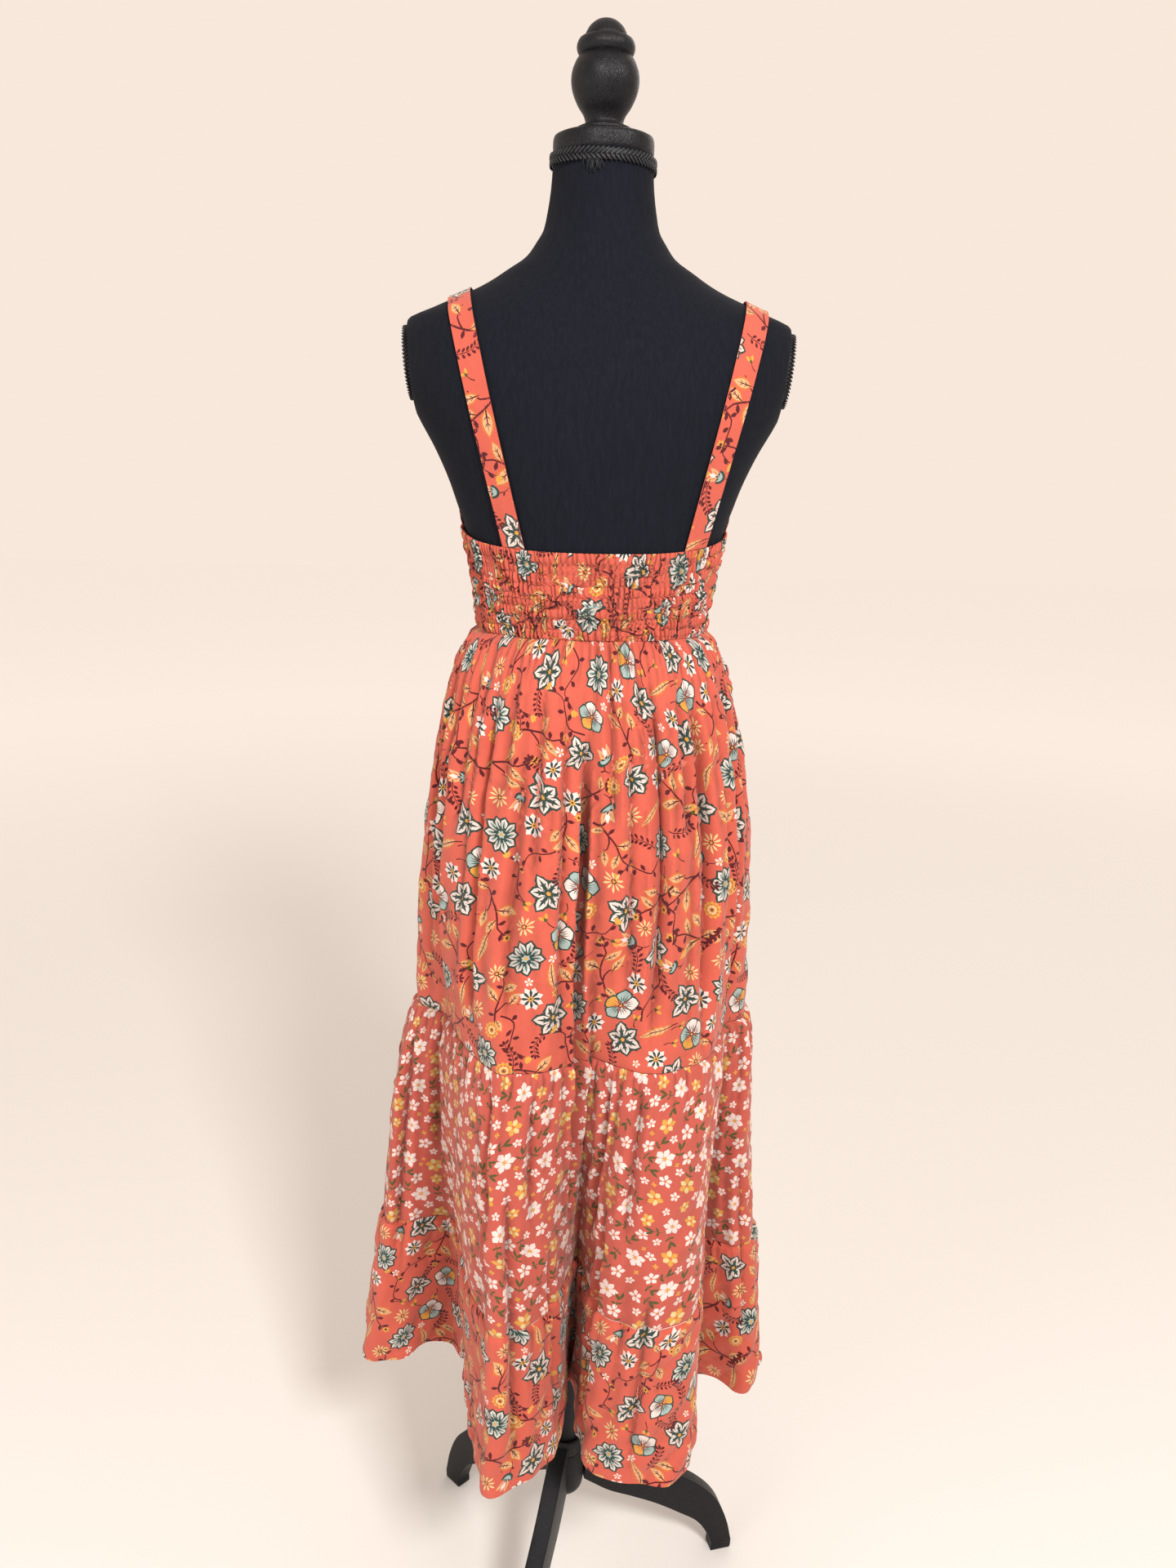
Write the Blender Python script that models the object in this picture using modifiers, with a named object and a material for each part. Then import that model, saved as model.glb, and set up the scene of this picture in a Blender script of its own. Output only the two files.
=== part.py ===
"""A sleeveless dress in three gathered tiers with a shirred back, standing on a limbless dress form.

Metres, +Z up. The back of the dress faces -Y and its left strap is at -X. Heights are above the floor,
and plan positions are from the axis of the stand, which an empty puts in its place in the model.
"""

import math

import bmesh
import bpy
import numpy as np
from mathutils import Matrix, Vector

# Place of the stand's axis in the model
AXIS = (0.0165, 0.0045, 0.0)

# Cloth
CLOTH = 0.0015
SEAM_GAP = 0.0003
SIDE_MARGIN = 0.0006
BODY_CLEARANCE = 0.0013
GATHER_RISE = 0.0018
GATHER_FADE = 0.075
FOLD_FADE = 0.7
SKIRT_SQUARE = 2.2

# Heights of the seams between the pieces of the dress
WAIST_SEAM = 1.188
MIDDLE_SEAM = 0.785
LOWER_SEAM = 0.513
HEM = 0.325

# Top edge of the shirred back, lowest at its middle
BACK_TOP_MIDDLE = 1.267
BACK_TOP_RISE = 0.018
BACK_TOP_POWER = 2.5
TUNNELS = 8
TUNNEL_RISE = 0.0021
SHIRR_RISE = 0.0012

# Straps
STRAP_WIDTH = 0.020
STRAP_CLEARANCE = 0.0017
FRONT_STRAP_FOOT = 1.3626
SHOULDER_RIDGE = (1.48, 1.60)

# Dress form
TORSO_BOTTOM = 0.865
TORSO_COLUMNS = 36
ARM_PLATE_HEIGHT = 1.4325
ARM_PLATE_OUT = 0.1732
ARM_PLATE_TILT = math.radians(5.0)
ARM_PLATE_AXES = (0.0255, 0.0305)
ARM_PLATE_THICKNESS = 0.0035
ARM_PLATE_FACE = 0.97
ARM_BRAID_RADIUS = 0.0026
BRAID_RINGS, BRAID_SIDES = 24, 5

# Stand
STAND_OFFSET = Vector((-0.008, 0.004, 0.0))
POST_RADIUS = 0.018
HUB_TOP = 0.2205
LEG_THICKNESS = 0.020
LEG_ANGLES = {"leg_right": 15.0, "leg_left": 135.0, "leg_near": 255.0}

# Dress form by height: half width, depth to the back and to the front, and squareness of the section
FORM_COLUMNS = ("height", "half", "back", "front", "square")
FORM = (
    (1.6115, 0.0450, 0.0450, 0.0450, 2.00),
    (1.5850, 0.0468, 0.0465, 0.0462, 2.00),
    (1.5660, 0.0495, 0.0490, 0.0480, 2.00),
    (1.5500, 0.0530, 0.0520, 0.0500, 2.00),
    (1.5380, 0.0600, 0.0550, 0.0520, 2.00),
    (1.5260, 0.0690, 0.0585, 0.0540, 2.00),
    (1.5140, 0.0870, 0.0620, 0.0560, 2.00),
    (1.5050, 0.1010, 0.0650, 0.0580, 2.00),
    (1.4970, 0.1160, 0.0680, 0.0600, 2.05),
    (1.4890, 0.1350, 0.0715, 0.0630, 2.05),
    (1.4800, 0.1560, 0.0760, 0.0660, 2.10),
    (1.4700, 0.1780, 0.0810, 0.0700, 2.10),
    (1.4550, 0.1860, 0.0880, 0.0750, 2.15),
    (1.4200, 0.1825, 0.1000, 0.0870, 2.20),
    (1.3900, 0.1720, 0.1060, 0.0980, 2.20),
    (1.3530, 0.1520, 0.1080, 0.1130, 2.20),
    (1.3250, 0.1395, 0.1070, 0.1220, 2.20),
    (1.3050, 0.1325, 0.1055, 0.1265, 2.20),
    (1.2850, 0.1255, 0.1035, 0.1280, 2.20),
    (1.2610, 0.1195, 0.1015, 0.1250, 2.20),
    (1.2350, 0.1145, 0.0990, 0.1180, 2.20),
    (1.2100, 0.1110, 0.0970, 0.1110, 2.20),
    (1.1700, 0.1075, 0.0935, 0.1040, 2.20),
    (1.1000, 0.1060, 0.0910, 0.0940, 2.20),
    (1.0400, 0.1190, 0.1020, 0.0980, 2.20),
    (0.9800, 0.1380, 0.1160, 0.1040, 2.20),
    (0.9300, 0.1480, 0.1230, 0.1080, 2.20),
    (0.8850, 0.1490, 0.1230, 0.1070, 2.20),
    (0.8650, 0.1460, 0.1200, 0.1040, 2.20),
)

# Skirt by height: reach to each side, and how far the hem's lobes are formed there, from 0 to 1. The
# first row is the outside of the bodice, to which the skirt is sewn.
SKIRT_COLUMNS = ("height", "left", "right", "back", "front", "folded")
SKIRT = (
    (1.1880, 0.1115, 0.1115, 0.0977, 0.1097, 0.00),
    (1.1820, 0.1155, 0.1155, 0.1015, 0.1130, 0.00),
    (1.1700, 0.1230, 0.1230, 0.1090, 0.1180, 0.01),
    (1.1500, 0.1320, 0.1320, 0.1185, 0.1245, 0.02),
    (1.1300, 0.1385, 0.1380, 0.1250, 0.1290, 0.03),
    (1.0600, 0.1550, 0.1555, 0.1400, 0.1390, 0.06),
    (0.9700, 0.1680, 0.1685, 0.1540, 0.1490, 0.11),
    (0.8800, 0.1760, 0.1720, 0.1640, 0.1560, 0.20),
    (0.7850, 0.1790, 0.1750, 0.1720, 0.1610, 0.34),
    (0.7400, 0.1950, 0.1830, 0.1800, 0.1700, 0.42),
    (0.6200, 0.2125, 0.1905, 0.1880, 0.1820, 0.62),
    (0.5130, 0.2230, 0.2010, 0.1950, 0.1900, 0.78),
    (0.4800, 0.2300, 0.2060, 0.1960, 0.1930, 0.84),
    (0.4000, 0.2420, 0.2125, 0.1965, 0.1990, 0.93),
    (0.3250, 0.2505, 0.2190, 0.1975, 0.2050, 1.00),
)

# Lobes of the hem, counterclockwise from the left side seam. Each row gives the lobe's first shoulder,
# its tip, its last shoulder and the bottom of the valley after it, all in plan.
LOBES = (
    ("side_left", (-0.236, 0.054), (-0.2505, 0.022), (-0.232, -0.014), (-0.146, 0.024)),
    ("near_left", (-0.108, -0.125), (-0.081, -0.197), (-0.023, -0.150), (-0.003, -0.030)),
    ("near_right", (0.018, -0.160), (0.066, -0.181), (0.121, -0.160), (0.142, -0.022)),
    ("side_right", (0.196, -0.045), (0.219, 0.008), (0.201, 0.048), (0.132, 0.062)),
    ("front_right", (0.150, 0.118), (0.142, 0.160), (0.099, 0.163), (0.080, 0.068)),
    ("front_middle_right", (0.077, 0.176), (0.050, 0.204), (0.013, 0.192), (0.002, 0.080)),
    ("front_middle_left", (-0.015, 0.189), (-0.052, 0.200), (-0.080, 0.172), (-0.088, 0.070)),
    ("front_left", (-0.110, 0.168), (-0.160, 0.156), (-0.167, 0.110), (-0.140, 0.058)),
)
SPAN_STEPS = 60

# Long soft folds: place round the skirt (0 to 1 the back, 1 to 2 the front), top, bottom, depth and
# half width
FOLDS = (
    (0.10, 1.17, 0.80, 0.006, 0.030),
    (0.24, 1.18, 0.86, 0.007, 0.022),
    (0.37, 1.16, 0.62, 0.005, 0.025),
    (0.50, 1.16, 0.79, 0.010, 0.030),
    (0.62, 1.18, 0.90, 0.006, 0.022),
    (0.73, 1.17, 0.70, 0.007, 0.025),
    (0.88, 1.18, 0.82, 0.006, 0.030),
    (0.31, 0.76, 0.36, 0.005, 0.018),
    (0.67, 0.77, 0.34, 0.006, 0.018),
    (1.12, 1.17, 0.80, 0.006, 0.030),
    (1.27, 1.18, 0.84, 0.007, 0.024),
    (1.41, 1.16, 0.66, 0.006, 0.024),
    (1.55, 1.18, 0.80, 0.008, 0.028),
    (1.69, 1.17, 0.88, 0.006, 0.022),
    (1.80, 1.16, 0.70, 0.007, 0.026),
    (1.92, 1.18, 0.80, 0.005, 0.026),
)

# Top edge of the front bodice: share of the way from the middle to the side seam, height
FRONT_EDGE_COLUMNS = ("out", "height")
FRONT_EDGE = (
    (0.00, 1.3000),
    (0.12, 1.3150),
    (0.22, 1.3400),
    (0.29, 1.3622),
    (0.43, 1.3622),
    (0.56, 1.3440),
    (0.74, 1.3180),
    (0.90, 1.3020),
    (1.00, 1.2852),
)

# Straps: name, and place across the form at the back, on the shoulder and at the front
STRAPS = (
    ("strap_left", -0.0710, -0.1275, -0.0880),
    ("strap_right", 0.0913, 0.1427, 0.0880),
)

# Turned pieces: radius and height, down the outside
CAP_PROFILE = (
    (0.0000, 1.6320), (0.0240, 1.6312), (0.0400, 1.6288), (0.0446, 1.6268), (0.0455, 1.6240),
    (0.0455, 1.6140), (0.0448, 1.6118), (0.0000, 1.6118),
)
FINIAL_PROFILE = (
    (0.0000, 1.7228), (0.0080, 1.7213), (0.0151, 1.7160), (0.0186, 1.7096), (0.0188, 1.7082),
    (0.0238, 1.7058), (0.0260, 1.7000), (0.0248, 1.6950), (0.0232, 1.6932), (0.0262, 1.6890),
    (0.0294, 1.6815), (0.0305, 1.6740), (0.0292, 1.6645), (0.0241, 1.6530), (0.0190, 1.6455),
    (0.0172, 1.6395), (0.0180, 1.6372), (0.0215, 1.6362), (0.0253, 1.6345), (0.0253, 1.6323),
    (0.0000, 1.6323),
)
BRAID_PROFILE = (
    (0.0492, 1.6110), (0.0497, 1.6075), (0.0495, 1.6035), (0.0487, 1.6016), (0.0461, 1.6020),
    (0.0455, 1.6108),
)
POST_PROFILE = (
    (0.0, TORSO_BOTTOM - SEAM_GAP), (POST_RADIUS, TORSO_BOTTOM - SEAM_GAP), (POST_RADIUS, HUB_TOP),
    (0.0, HUB_TOP),
)
HUB_PROFILE = (
    (0.0000, 0.2202), (0.0205, 0.2202), (0.0220, 0.2180), (0.0220, 0.1520), (0.0200, 0.1455),
    (0.0140, 0.1390), (0.0060, 0.1360), (0.0000, 0.1355),
)
# Leg seen from its side: distance from the axis and height, over the top and back along the underside
LEG_TOP = (
    (0.0225, 0.214), (0.050, 0.196), (0.085, 0.166), (0.120, 0.143), (0.150, 0.1255), (0.177, 0.104),
    (0.198, 0.079), (0.213, 0.044), (0.2205, 0.012),
)
LEG_UNDER = (
    (0.194, 0.010), (0.186, 0.031), (0.172, 0.052), (0.149, 0.070), (0.117, 0.0925), (0.083, 0.112),
    (0.055, 0.127), (0.035, 0.142), (0.0225, 0.152),
)
FOOT = ((0.2195, 0.0), (0.1935, 0.0))

# Columns round each half of the garment, and rows as shares of the way down each piece
UPPER_COLUMNS, MIDDLE_COLUMNS, LOWER_COLUMNS = 52, 60, 68
UPPER_ROWS = (0.0, 0.015, 0.05, 0.14, 0.32, 0.54, 0.77, 1.0)
MIDDLE_ROWS = (0.0, 0.10, 0.30, 0.62, 1.0)
LOWER_ROWS = (0.0, 0.16, 0.52, 1.0)
SHIRR_COLUMNS = 38
FRONT_COLUMNS, FRONT_ROWS = 32, 8
STRAP_ROWS = 26
STRAP_ACROSS = 2
DENSE = 700
FINE = 400
STRAP_POINTS = 90
TURN_STEPS = 20
CAP_STEPS = 24
SHARP = math.radians(50.0)


# Curves and tables


def monotone(table, column, columns, at):
    """A smooth value of one column at the given places in the first, with no overshoot between rows."""
    rows = sorted(table)
    x = np.array([row[0] for row in rows], float)
    y = np.array([row[columns.index(column)] for row in rows], float)
    step = np.diff(y) / np.diff(x)
    slope = np.zeros(len(x))
    slope[0], slope[-1] = step[0], step[-1]
    same = step[:-1] * step[1:] > 0
    slope[1:-1][same] = 2 * step[:-1][same] * step[1:][same] / (step[:-1][same] + step[1:][same])
    at = np.clip(np.asarray(at, float), x[0], x[-1])
    span = np.clip(np.searchsorted(x, at) - 1, 0, len(x) - 2)
    width = x[span + 1] - x[span]
    s = (at - x[span]) / width
    return (
        y[span] * (1 + 2 * s) * (1 - s) ** 2
        + slope[span] * width * s * (1 - s) ** 2
        + y[span + 1] * s**2 * (3 - 2 * s)
        + slope[span + 1] * width * s**2 * (s - 1)
    )


def closed_curve(points, per_span):
    """A centripetal Catmull-Rom curve through a ring of points."""
    points = np.asarray(points, float)
    count = len(points)
    found = []
    for i in range(count):
        p = [points[(i + k) % count] for k in (-1, 0, 1, 2)]
        knot = [0.0]
        for a, b in zip(p, p[1:]):
            knot.append(knot[-1] + math.sqrt(np.linalg.norm(b - a)))
        t = np.linspace(knot[1], knot[2], per_span, endpoint=False)[:, None]

        def mixed(a, b, ta, tb):
            return a * (tb - t) / (tb - ta) + b * (t - ta) / (tb - ta)

        first = [mixed(p[k], p[k + 1], knot[k], knot[k + 1]) for k in range(3)]
        second = [mixed(first[k], first[k + 1], knot[k], knot[k + 2]) for k in range(2)]
        found.append(mixed(second[0], second[1], knot[1], knot[2]))
    return np.concatenate(found)


def even(points, count):
    """The same open line with points at even lengths along it."""
    length = np.concatenate([[0.0], np.cumsum(np.linalg.norm(np.diff(points, axis=0), axis=1))])
    at = np.linspace(0.0, length[-1], count)
    return np.stack([np.interp(at, length, points[:, k]) for k in range(points.shape[1])], axis=1)


def superellipse(share, left, right, back, front, square):
    """Points of an oval by share: 0 is its left end, 0.5 the back, 1 the right end and 1.5 the front."""
    angle = math.pi * (1 + np.asarray(share, float))
    c, s = np.cos(angle), np.sin(angle)
    x = np.sign(c) * np.abs(c) ** (2 / square) * np.where(c < 0, left, right)
    y = np.sign(s) * np.abs(s) ** (2 / square) * np.where(s < 0, back, front)
    return np.stack([x, y], axis=1)


def outward(ring):
    """Unit normals of a counterclockwise line of points, pointing out."""
    along = np.gradient(ring, axis=0)
    along /= np.linalg.norm(along, axis=1)[:, None]
    return np.stack([along[:, 1], -along[:, 0]], axis=1)


# Sections


def form_section(height, share):
    """Points and normals of the dress form's section."""
    half, back, front, square = (
        float(monotone(FORM, name, FORM_COLUMNS, height)) for name in FORM_COLUMNS[1:]
    )
    share = np.asarray(share, float)
    points = superellipse(share, half, half, back, front, square)
    ahead = superellipse(share + 1e-4, half, half, back, front, square)
    behind = superellipse(share - 1e-4, half, half, back, front, square)
    along = ahead - behind
    along /= np.linalg.norm(along, axis=1)[:, None]
    return points, np.stack([along[:, 1], -along[:, 0]], axis=1)


def hem_lobes():
    """The hem's outline, as even points on its back half and then on its front half."""
    ring = [place for row in LOBES for place in row[1:]]
    curve = np.roll(closed_curve(ring, SPAN_STEPS), -SPAN_STEPS, axis=0)
    right_tip = [row[0] for row in LOBES].index("side_right") * 4 * SPAN_STEPS
    curve = np.concatenate([curve, curve[:1]])
    back = even(curve[: right_tip + 1], DENSE + 1)
    front = even(curve[right_tip:], DENSE + 1)
    return np.concatenate([back, front[1:]])


LOBED = hem_lobes()
DENSE_SHARE = np.linspace(0.0, 2.0, 2 * DENSE + 1)


def even_oval(left, right, back, front):
    """An oval with even points on each half, to go with the lobed outline."""
    halves = []
    for start in (0.0, 1.0):
        share = start + np.linspace(0.0, 1.0, DENSE + 1)
        halves.append(even(superellipse(share, left, right, back, front, SKIRT_SQUARE), DENSE + 1))
    return np.concatenate([halves[0], halves[1][1:]])


def fitted(ring, left, right, back, front):
    """A ring scaled on each side of its axis to the given reach."""
    x, y = ring[:, 0], ring[:, 1]
    x = np.where(x < 0, x * left / -x.min(), x * right / x.max())
    y = np.where(y < 0, y * back / -y.min(), y * front / y.max())
    return np.stack([x, y], axis=1)


def skirt_section(height, share):
    """Points and normals of the skirt's section, with its lobes and long folds."""
    left, right, back, front, folded = (
        float(monotone(SKIRT, name, SKIRT_COLUMNS, height)) for name in SKIRT_COLUMNS[1:]
    )
    reach = (left, right, back, front)
    ring = (1 - folded) * even_oval(*reach) + folded * fitted(LOBED, *reach)
    ring = fitted(ring, *reach)
    normal = outward(ring)
    sunk = np.zeros(len(ring))
    for place, top, bottom, depth, half in FOLDS:
        if bottom < height < top:
            strength = math.sin(math.pi * (top - height) / (top - bottom)) ** FOLD_FADE
            sunk += depth * strength * np.exp(-(((DENSE_SHARE - place) / half) ** 2))
    ring = ring - normal * sunk[:, None]
    normal = outward(ring)
    share = np.asarray(share, float)
    points = np.stack([np.interp(share, DENSE_SHARE, ring[:, k]) for k in range(2)], axis=1)
    facing = np.stack([np.interp(share, DENSE_SHARE, normal[:, k]) for k in range(2)], axis=1)
    return points, facing / np.linalg.norm(facing, axis=1)[:, None]


# Blender objects


def clear_scene():
    for obj in list(bpy.data.objects):
        bpy.data.objects.remove(obj, do_unlink=True)


def material(name, colour, roughness, metallic=0.0):
    made = bpy.data.materials.new(name)
    made.use_nodes = True
    shader = made.node_tree.nodes["Principled BSDF"]
    shader.inputs["Base Color"].default_value = (*colour, 1.0)
    shader.inputs["Roughness"].default_value = roughness
    shader.inputs["Metallic"].default_value = metallic
    made.diffuse_color = (*colour, 1.0)
    return made


def adopt(obj, finish):
    """Gives an object its material, its collection and its parent."""
    obj.data.materials.append(finish)
    for collection in list(obj.users_collection):
        collection.objects.unlink(obj)
    parts.objects.link(obj)
    obj.parent = axis
    return obj


def from_faces(name, points, faces, finish, smooth=True):
    mesh = bpy.data.meshes.new(name)
    mesh.from_pydata([tuple(p) for p in points], [], faces)
    mesh.validate()
    if smooth:
        mesh.shade_smooth()
        mesh.set_sharp_from_angle(angle=SHARP)
    return adopt(bpy.data.objects.new(name, mesh), finish)


def cloth_wall(name, outer, inner, finish):
    """A closed wall between two grids. Rows run up, and columns run counterclockwise."""
    rows, columns = outer.shape[:2]
    points = np.concatenate([outer.reshape(-1, 3), inner.reshape(-1, 3)])

    def out(i, j):
        return i * columns + j

    def inside(i, j):
        return rows * columns + i * columns + j

    faces = []
    for i in range(rows - 1):
        for j in range(columns - 1):
            faces.append((out(i, j), out(i, j + 1), out(i + 1, j + 1), out(i + 1, j)))
            faces.append((inside(i, j), inside(i + 1, j), inside(i + 1, j + 1), inside(i, j + 1)))
    top, last = rows - 1, columns - 1
    for j in range(last):
        faces.append((inside(0, j), inside(0, j + 1), out(0, j + 1), out(0, j)))
        faces.append((out(top, j), out(top, j + 1), inside(top, j + 1), inside(top, j)))
    for i in range(top):
        faces.append((out(i, 0), out(i + 1, 0), inside(i + 1, 0), inside(i, 0)))
        faces.append((inside(i, last), inside(i + 1, last), out(i + 1, last), out(i, last)))
    return from_faces(name, points, faces, finish)


def turned(name, profile, finish, steps):
    """A profile turned round the axis with a Screw modifier."""
    mesh = bpy.data.meshes.new(name)
    closed = profile[0][0] > 0
    points = [(radius, 0.0, height) for radius, height in profile]
    edges = [(i, i + 1) for i in range(len(points) - 1)]
    if closed:
        edges.append((len(points) - 1, 0))
    mesh.from_pydata(points, edges, [])
    obj = adopt(bpy.data.objects.new(name, mesh), finish)
    screw = obj.modifiers.new("turn", "SCREW")
    screw.steps = screw.render_steps = steps
    screw.use_merge_vertices = True
    screw.merge_threshold = 0.00001
    screw.use_smooth_shade = True
    return obj


# Dress


def skirt_piece(name, start, top, bottom, columns, row_shares, finish):
    """One panel of a tier. Its gathers stand up along its top edge and fade below it."""
    high, low = top - SEAM_GAP / 2, bottom + SEAM_GAP / 2
    if bottom == HEM:
        low = bottom
    share = start + np.linspace(SIDE_MARGIN, 1 - SIDE_MARGIN, columns + 1)
    wave = np.arange(columns + 1) % 2
    wave[[0, -1]] = 0
    outer, inner = [], []
    for down in reversed(row_shares):
        height = high - (high - low) * down
        points, normal = skirt_section(height, share)
        rise = GATHER_RISE * max(0.0, 1 - (high - height) / GATHER_FADE)
        lifted = points + normal * (rise * wave)[:, None]
        level = np.full((len(share), 1), height)
        outer.append(np.hstack([lifted, level]))
        inner.append(np.hstack([points - normal * CLOTH, level]))
    return cloth_wall(name, np.array(outer), np.array(inner), finish)


def back_top(share):
    """Height of the shirred back's top edge."""
    return BACK_TOP_MIDDLE + BACK_TOP_RISE * np.abs(2 * share - 1) ** BACK_TOP_POWER


def front_top(share):
    """Height of the front bodice's top edge."""
    return monotone(FRONT_EDGE, "height", FRONT_EDGE_COLUMNS, np.abs(2 * share - 3))


def on_form(share, heights, off):
    """Points over the dress form, one height for each share, moved out from it."""
    found = []
    for one, height in zip(share, heights):
        point, normal = form_section(height, [one])
        found.append([*(point[0] + normal[0] * off), height])
    return np.array(found)


def bodice_back(finish):
    """The shirred panel: puffed tunnels between rows of elastic, crossed by fine gathers."""
    low = WAIST_SEAM + SEAM_GAP / 2
    share = np.linspace(SIDE_MARGIN, 1 - SIDE_MARGIN, SHIRR_COLUMNS + 1)
    wave = (np.arange(SHIRR_COLUMNS + 1) % 2).astype(float)
    rows = 2 * TUNNELS
    outer, inner = [], []
    for i in range(rows + 1):
        heights = low + (back_top(share) - low) * i / rows
        puff = TUNNEL_RISE * (i % 2)
        gather = SHIRR_RISE * wave if 0 < i < rows else 0.0 * wave
        plain = on_form(share, heights, BODY_CLEARANCE)
        outside = on_form(share, heights, BODY_CLEARANCE + CLOTH)
        out = (outside - plain) / CLOTH
        outer.append(outside + out * (puff + gather)[:, None])
        inner.append(plain)
    return cloth_wall("bodice_back", np.array(outer), np.array(inner), finish)


def bodice_front(finish):
    low = WAIST_SEAM + SEAM_GAP / 2
    share = 1 + np.linspace(SIDE_MARGIN, 1 - SIDE_MARGIN, FRONT_COLUMNS + 1)
    tops = front_top(share)
    outer, inner = [], []
    for i in range(FRONT_ROWS + 1):
        heights = low + (tops - low) * i / FRONT_ROWS
        inner.append(on_form(share, heights, BODY_CLEARANCE))
        outer.append(on_form(share, heights, BODY_CLEARANCE + CLOTH))
    return cloth_wall("bodice_front", np.array(outer), np.array(inner), finish)


def hull(points):
    """Indices of the convex hull of plane points, counterclockwise."""
    order = sorted(range(len(points)), key=lambda i: tuple(points[i]))

    def half(indices):
        chain = []
        for i in indices:
            while len(chain) > 1:
                a, b, c = points[chain[-2]], points[chain[-1]], points[i]
                if (b[0] - a[0]) * (c[1] - a[1]) - (b[1] - a[1]) * (c[0] - a[0]) > 0:
                    break
                chain.pop()
            chain.append(i)
        return chain[:-1]

    return half(order) + half(reversed(order))


def strap_line(back_x, shoulder_x, front_x, back_z, front_z):
    """A line drawn taut over the form, up the back, over the shoulder and down the front."""
    heights = np.linspace(*SHOULDER_RIDGE, FINE)
    halves = monotone(FORM, "half", FORM_COLUMNS, heights)
    ridge = float(np.interp(-abs(shoulder_x), -halves, heights))
    line = []
    for foot_x, foot_z, depth, sign in ((back_x, back_z, "back", -1), (front_x, front_z, "front", 1)):
        steps = np.sqrt(np.linspace(0.0, 1.0, STRAP_POINTS))
        z = foot_z + (ridge - foot_z) * steps
        x = foot_x + (shoulder_x - foot_x) * (z - foot_z) / (ridge - foot_z)
        half = monotone(FORM, "half", FORM_COLUMNS, z)
        square = monotone(FORM, "square", FORM_COLUMNS, z)
        reach = monotone(FORM, depth, FORM_COLUMNS, z)
        inside = np.clip(1 - (np.abs(x) / half) ** square, 0.0, 1.0)
        side = np.stack([x, sign * reach * inside ** (1 / square), z], axis=1)
        line.append(side if sign < 0 else side[::-1][1:])
    line = np.concatenate(line)
    ring = hull(line[:, 1:])
    start = ring.index(0)
    ring = ring[start:] + ring[:start]
    kept = [0, *sorted(set(ring[1:]) - {len(line) - 1}), len(line) - 1]
    return even(line[kept], STRAP_ROWS + 1)


def strap(name, back_x, shoulder_x, front_x, finish):
    """A flat strap over the shoulder, its ends on the top edges of the back and the front."""
    half = STRAP_WIDTH / 2
    columns = []
    for j in range(STRAP_ACROSS + 1):
        off = half * (1 - 2 * j / STRAP_ACROSS)
        x = back_x + off
        share = np.linspace(0.0, 1.0, FINE)
        across, _ = form_section(BACK_TOP_MIDDLE, share)
        foot = float(back_top(np.interp(x, across[:, 0], share))) + SEAM_GAP
        columns.append(strap_line(x, shoulder_x + off, front_x + off, foot, FRONT_STRAP_FOOT))
    grid = np.array(columns).transpose(1, 0, 2)
    up = np.gradient(grid, axis=0)
    across = np.gradient(grid, axis=1)
    normal = np.cross(up, across)
    normal /= np.linalg.norm(normal, axis=2)[:, :, None]
    normal[[0, -1], :, 2] = 0.0
    inner = grid + normal * STRAP_CLEARANCE
    outer = grid + normal * (STRAP_CLEARANCE + CLOTH)
    return cloth_wall(name, outer[:, ::-1], inner[:, ::-1], finish)


# Dress form


def torso(finish):
    """The covered body, lofted through the sections and cut flat at each arm."""
    share = np.linspace(0.0, 2.0, TORSO_COLUMNS, endpoint=False)
    rings = [
        np.hstack([form_section(row[0], share)[0], np.full((TORSO_COLUMNS, 1), row[0])])
        for row in reversed(FORM)
    ]
    points = np.concatenate(rings)
    faces = []
    for i in range(len(rings) - 1):
        for j in range(TORSO_COLUMNS):
            k = (j + 1) % TORSO_COLUMNS
            low, high = i * TORSO_COLUMNS, (i + 1) * TORSO_COLUMNS
            faces.append((low + j, low + k, high + k, high + j))
    faces.append(tuple(reversed(range(TORSO_COLUMNS))))
    faces.append(tuple(range((len(rings) - 1) * TORSO_COLUMNS, len(rings) * TORSO_COLUMNS)))
    obj = from_faces("torso", points, faces, finish)
    body = bmesh.new()
    body.from_mesh(obj.data)
    for sign in (-1, 1):
        place, out = arm_plane(sign)
        whole = body.verts[:] + body.edges[:] + body.faces[:]
        cut = bmesh.ops.bisect_plane(body, geom=whole, plane_co=place, plane_no=out, clear_outer=True)
        edges = [item for item in cut["geom_cut"] if isinstance(item, bmesh.types.BMEdge)]
        bmesh.ops.contextual_create(body, geom=edges)
    bmesh.ops.recalc_face_normals(body, faces=body.faces[:])
    body.to_mesh(obj.data)
    body.free()
    return obj


def arm_plane(sign):
    """A point and the outward normal of the cut at one arm."""
    out = Vector((sign * math.cos(ARM_PLATE_TILT), 0.0, -math.sin(ARM_PLATE_TILT)))
    return Vector((sign * ARM_PLATE_OUT, 0.0, ARM_PLATE_HEIGHT)), out


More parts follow.
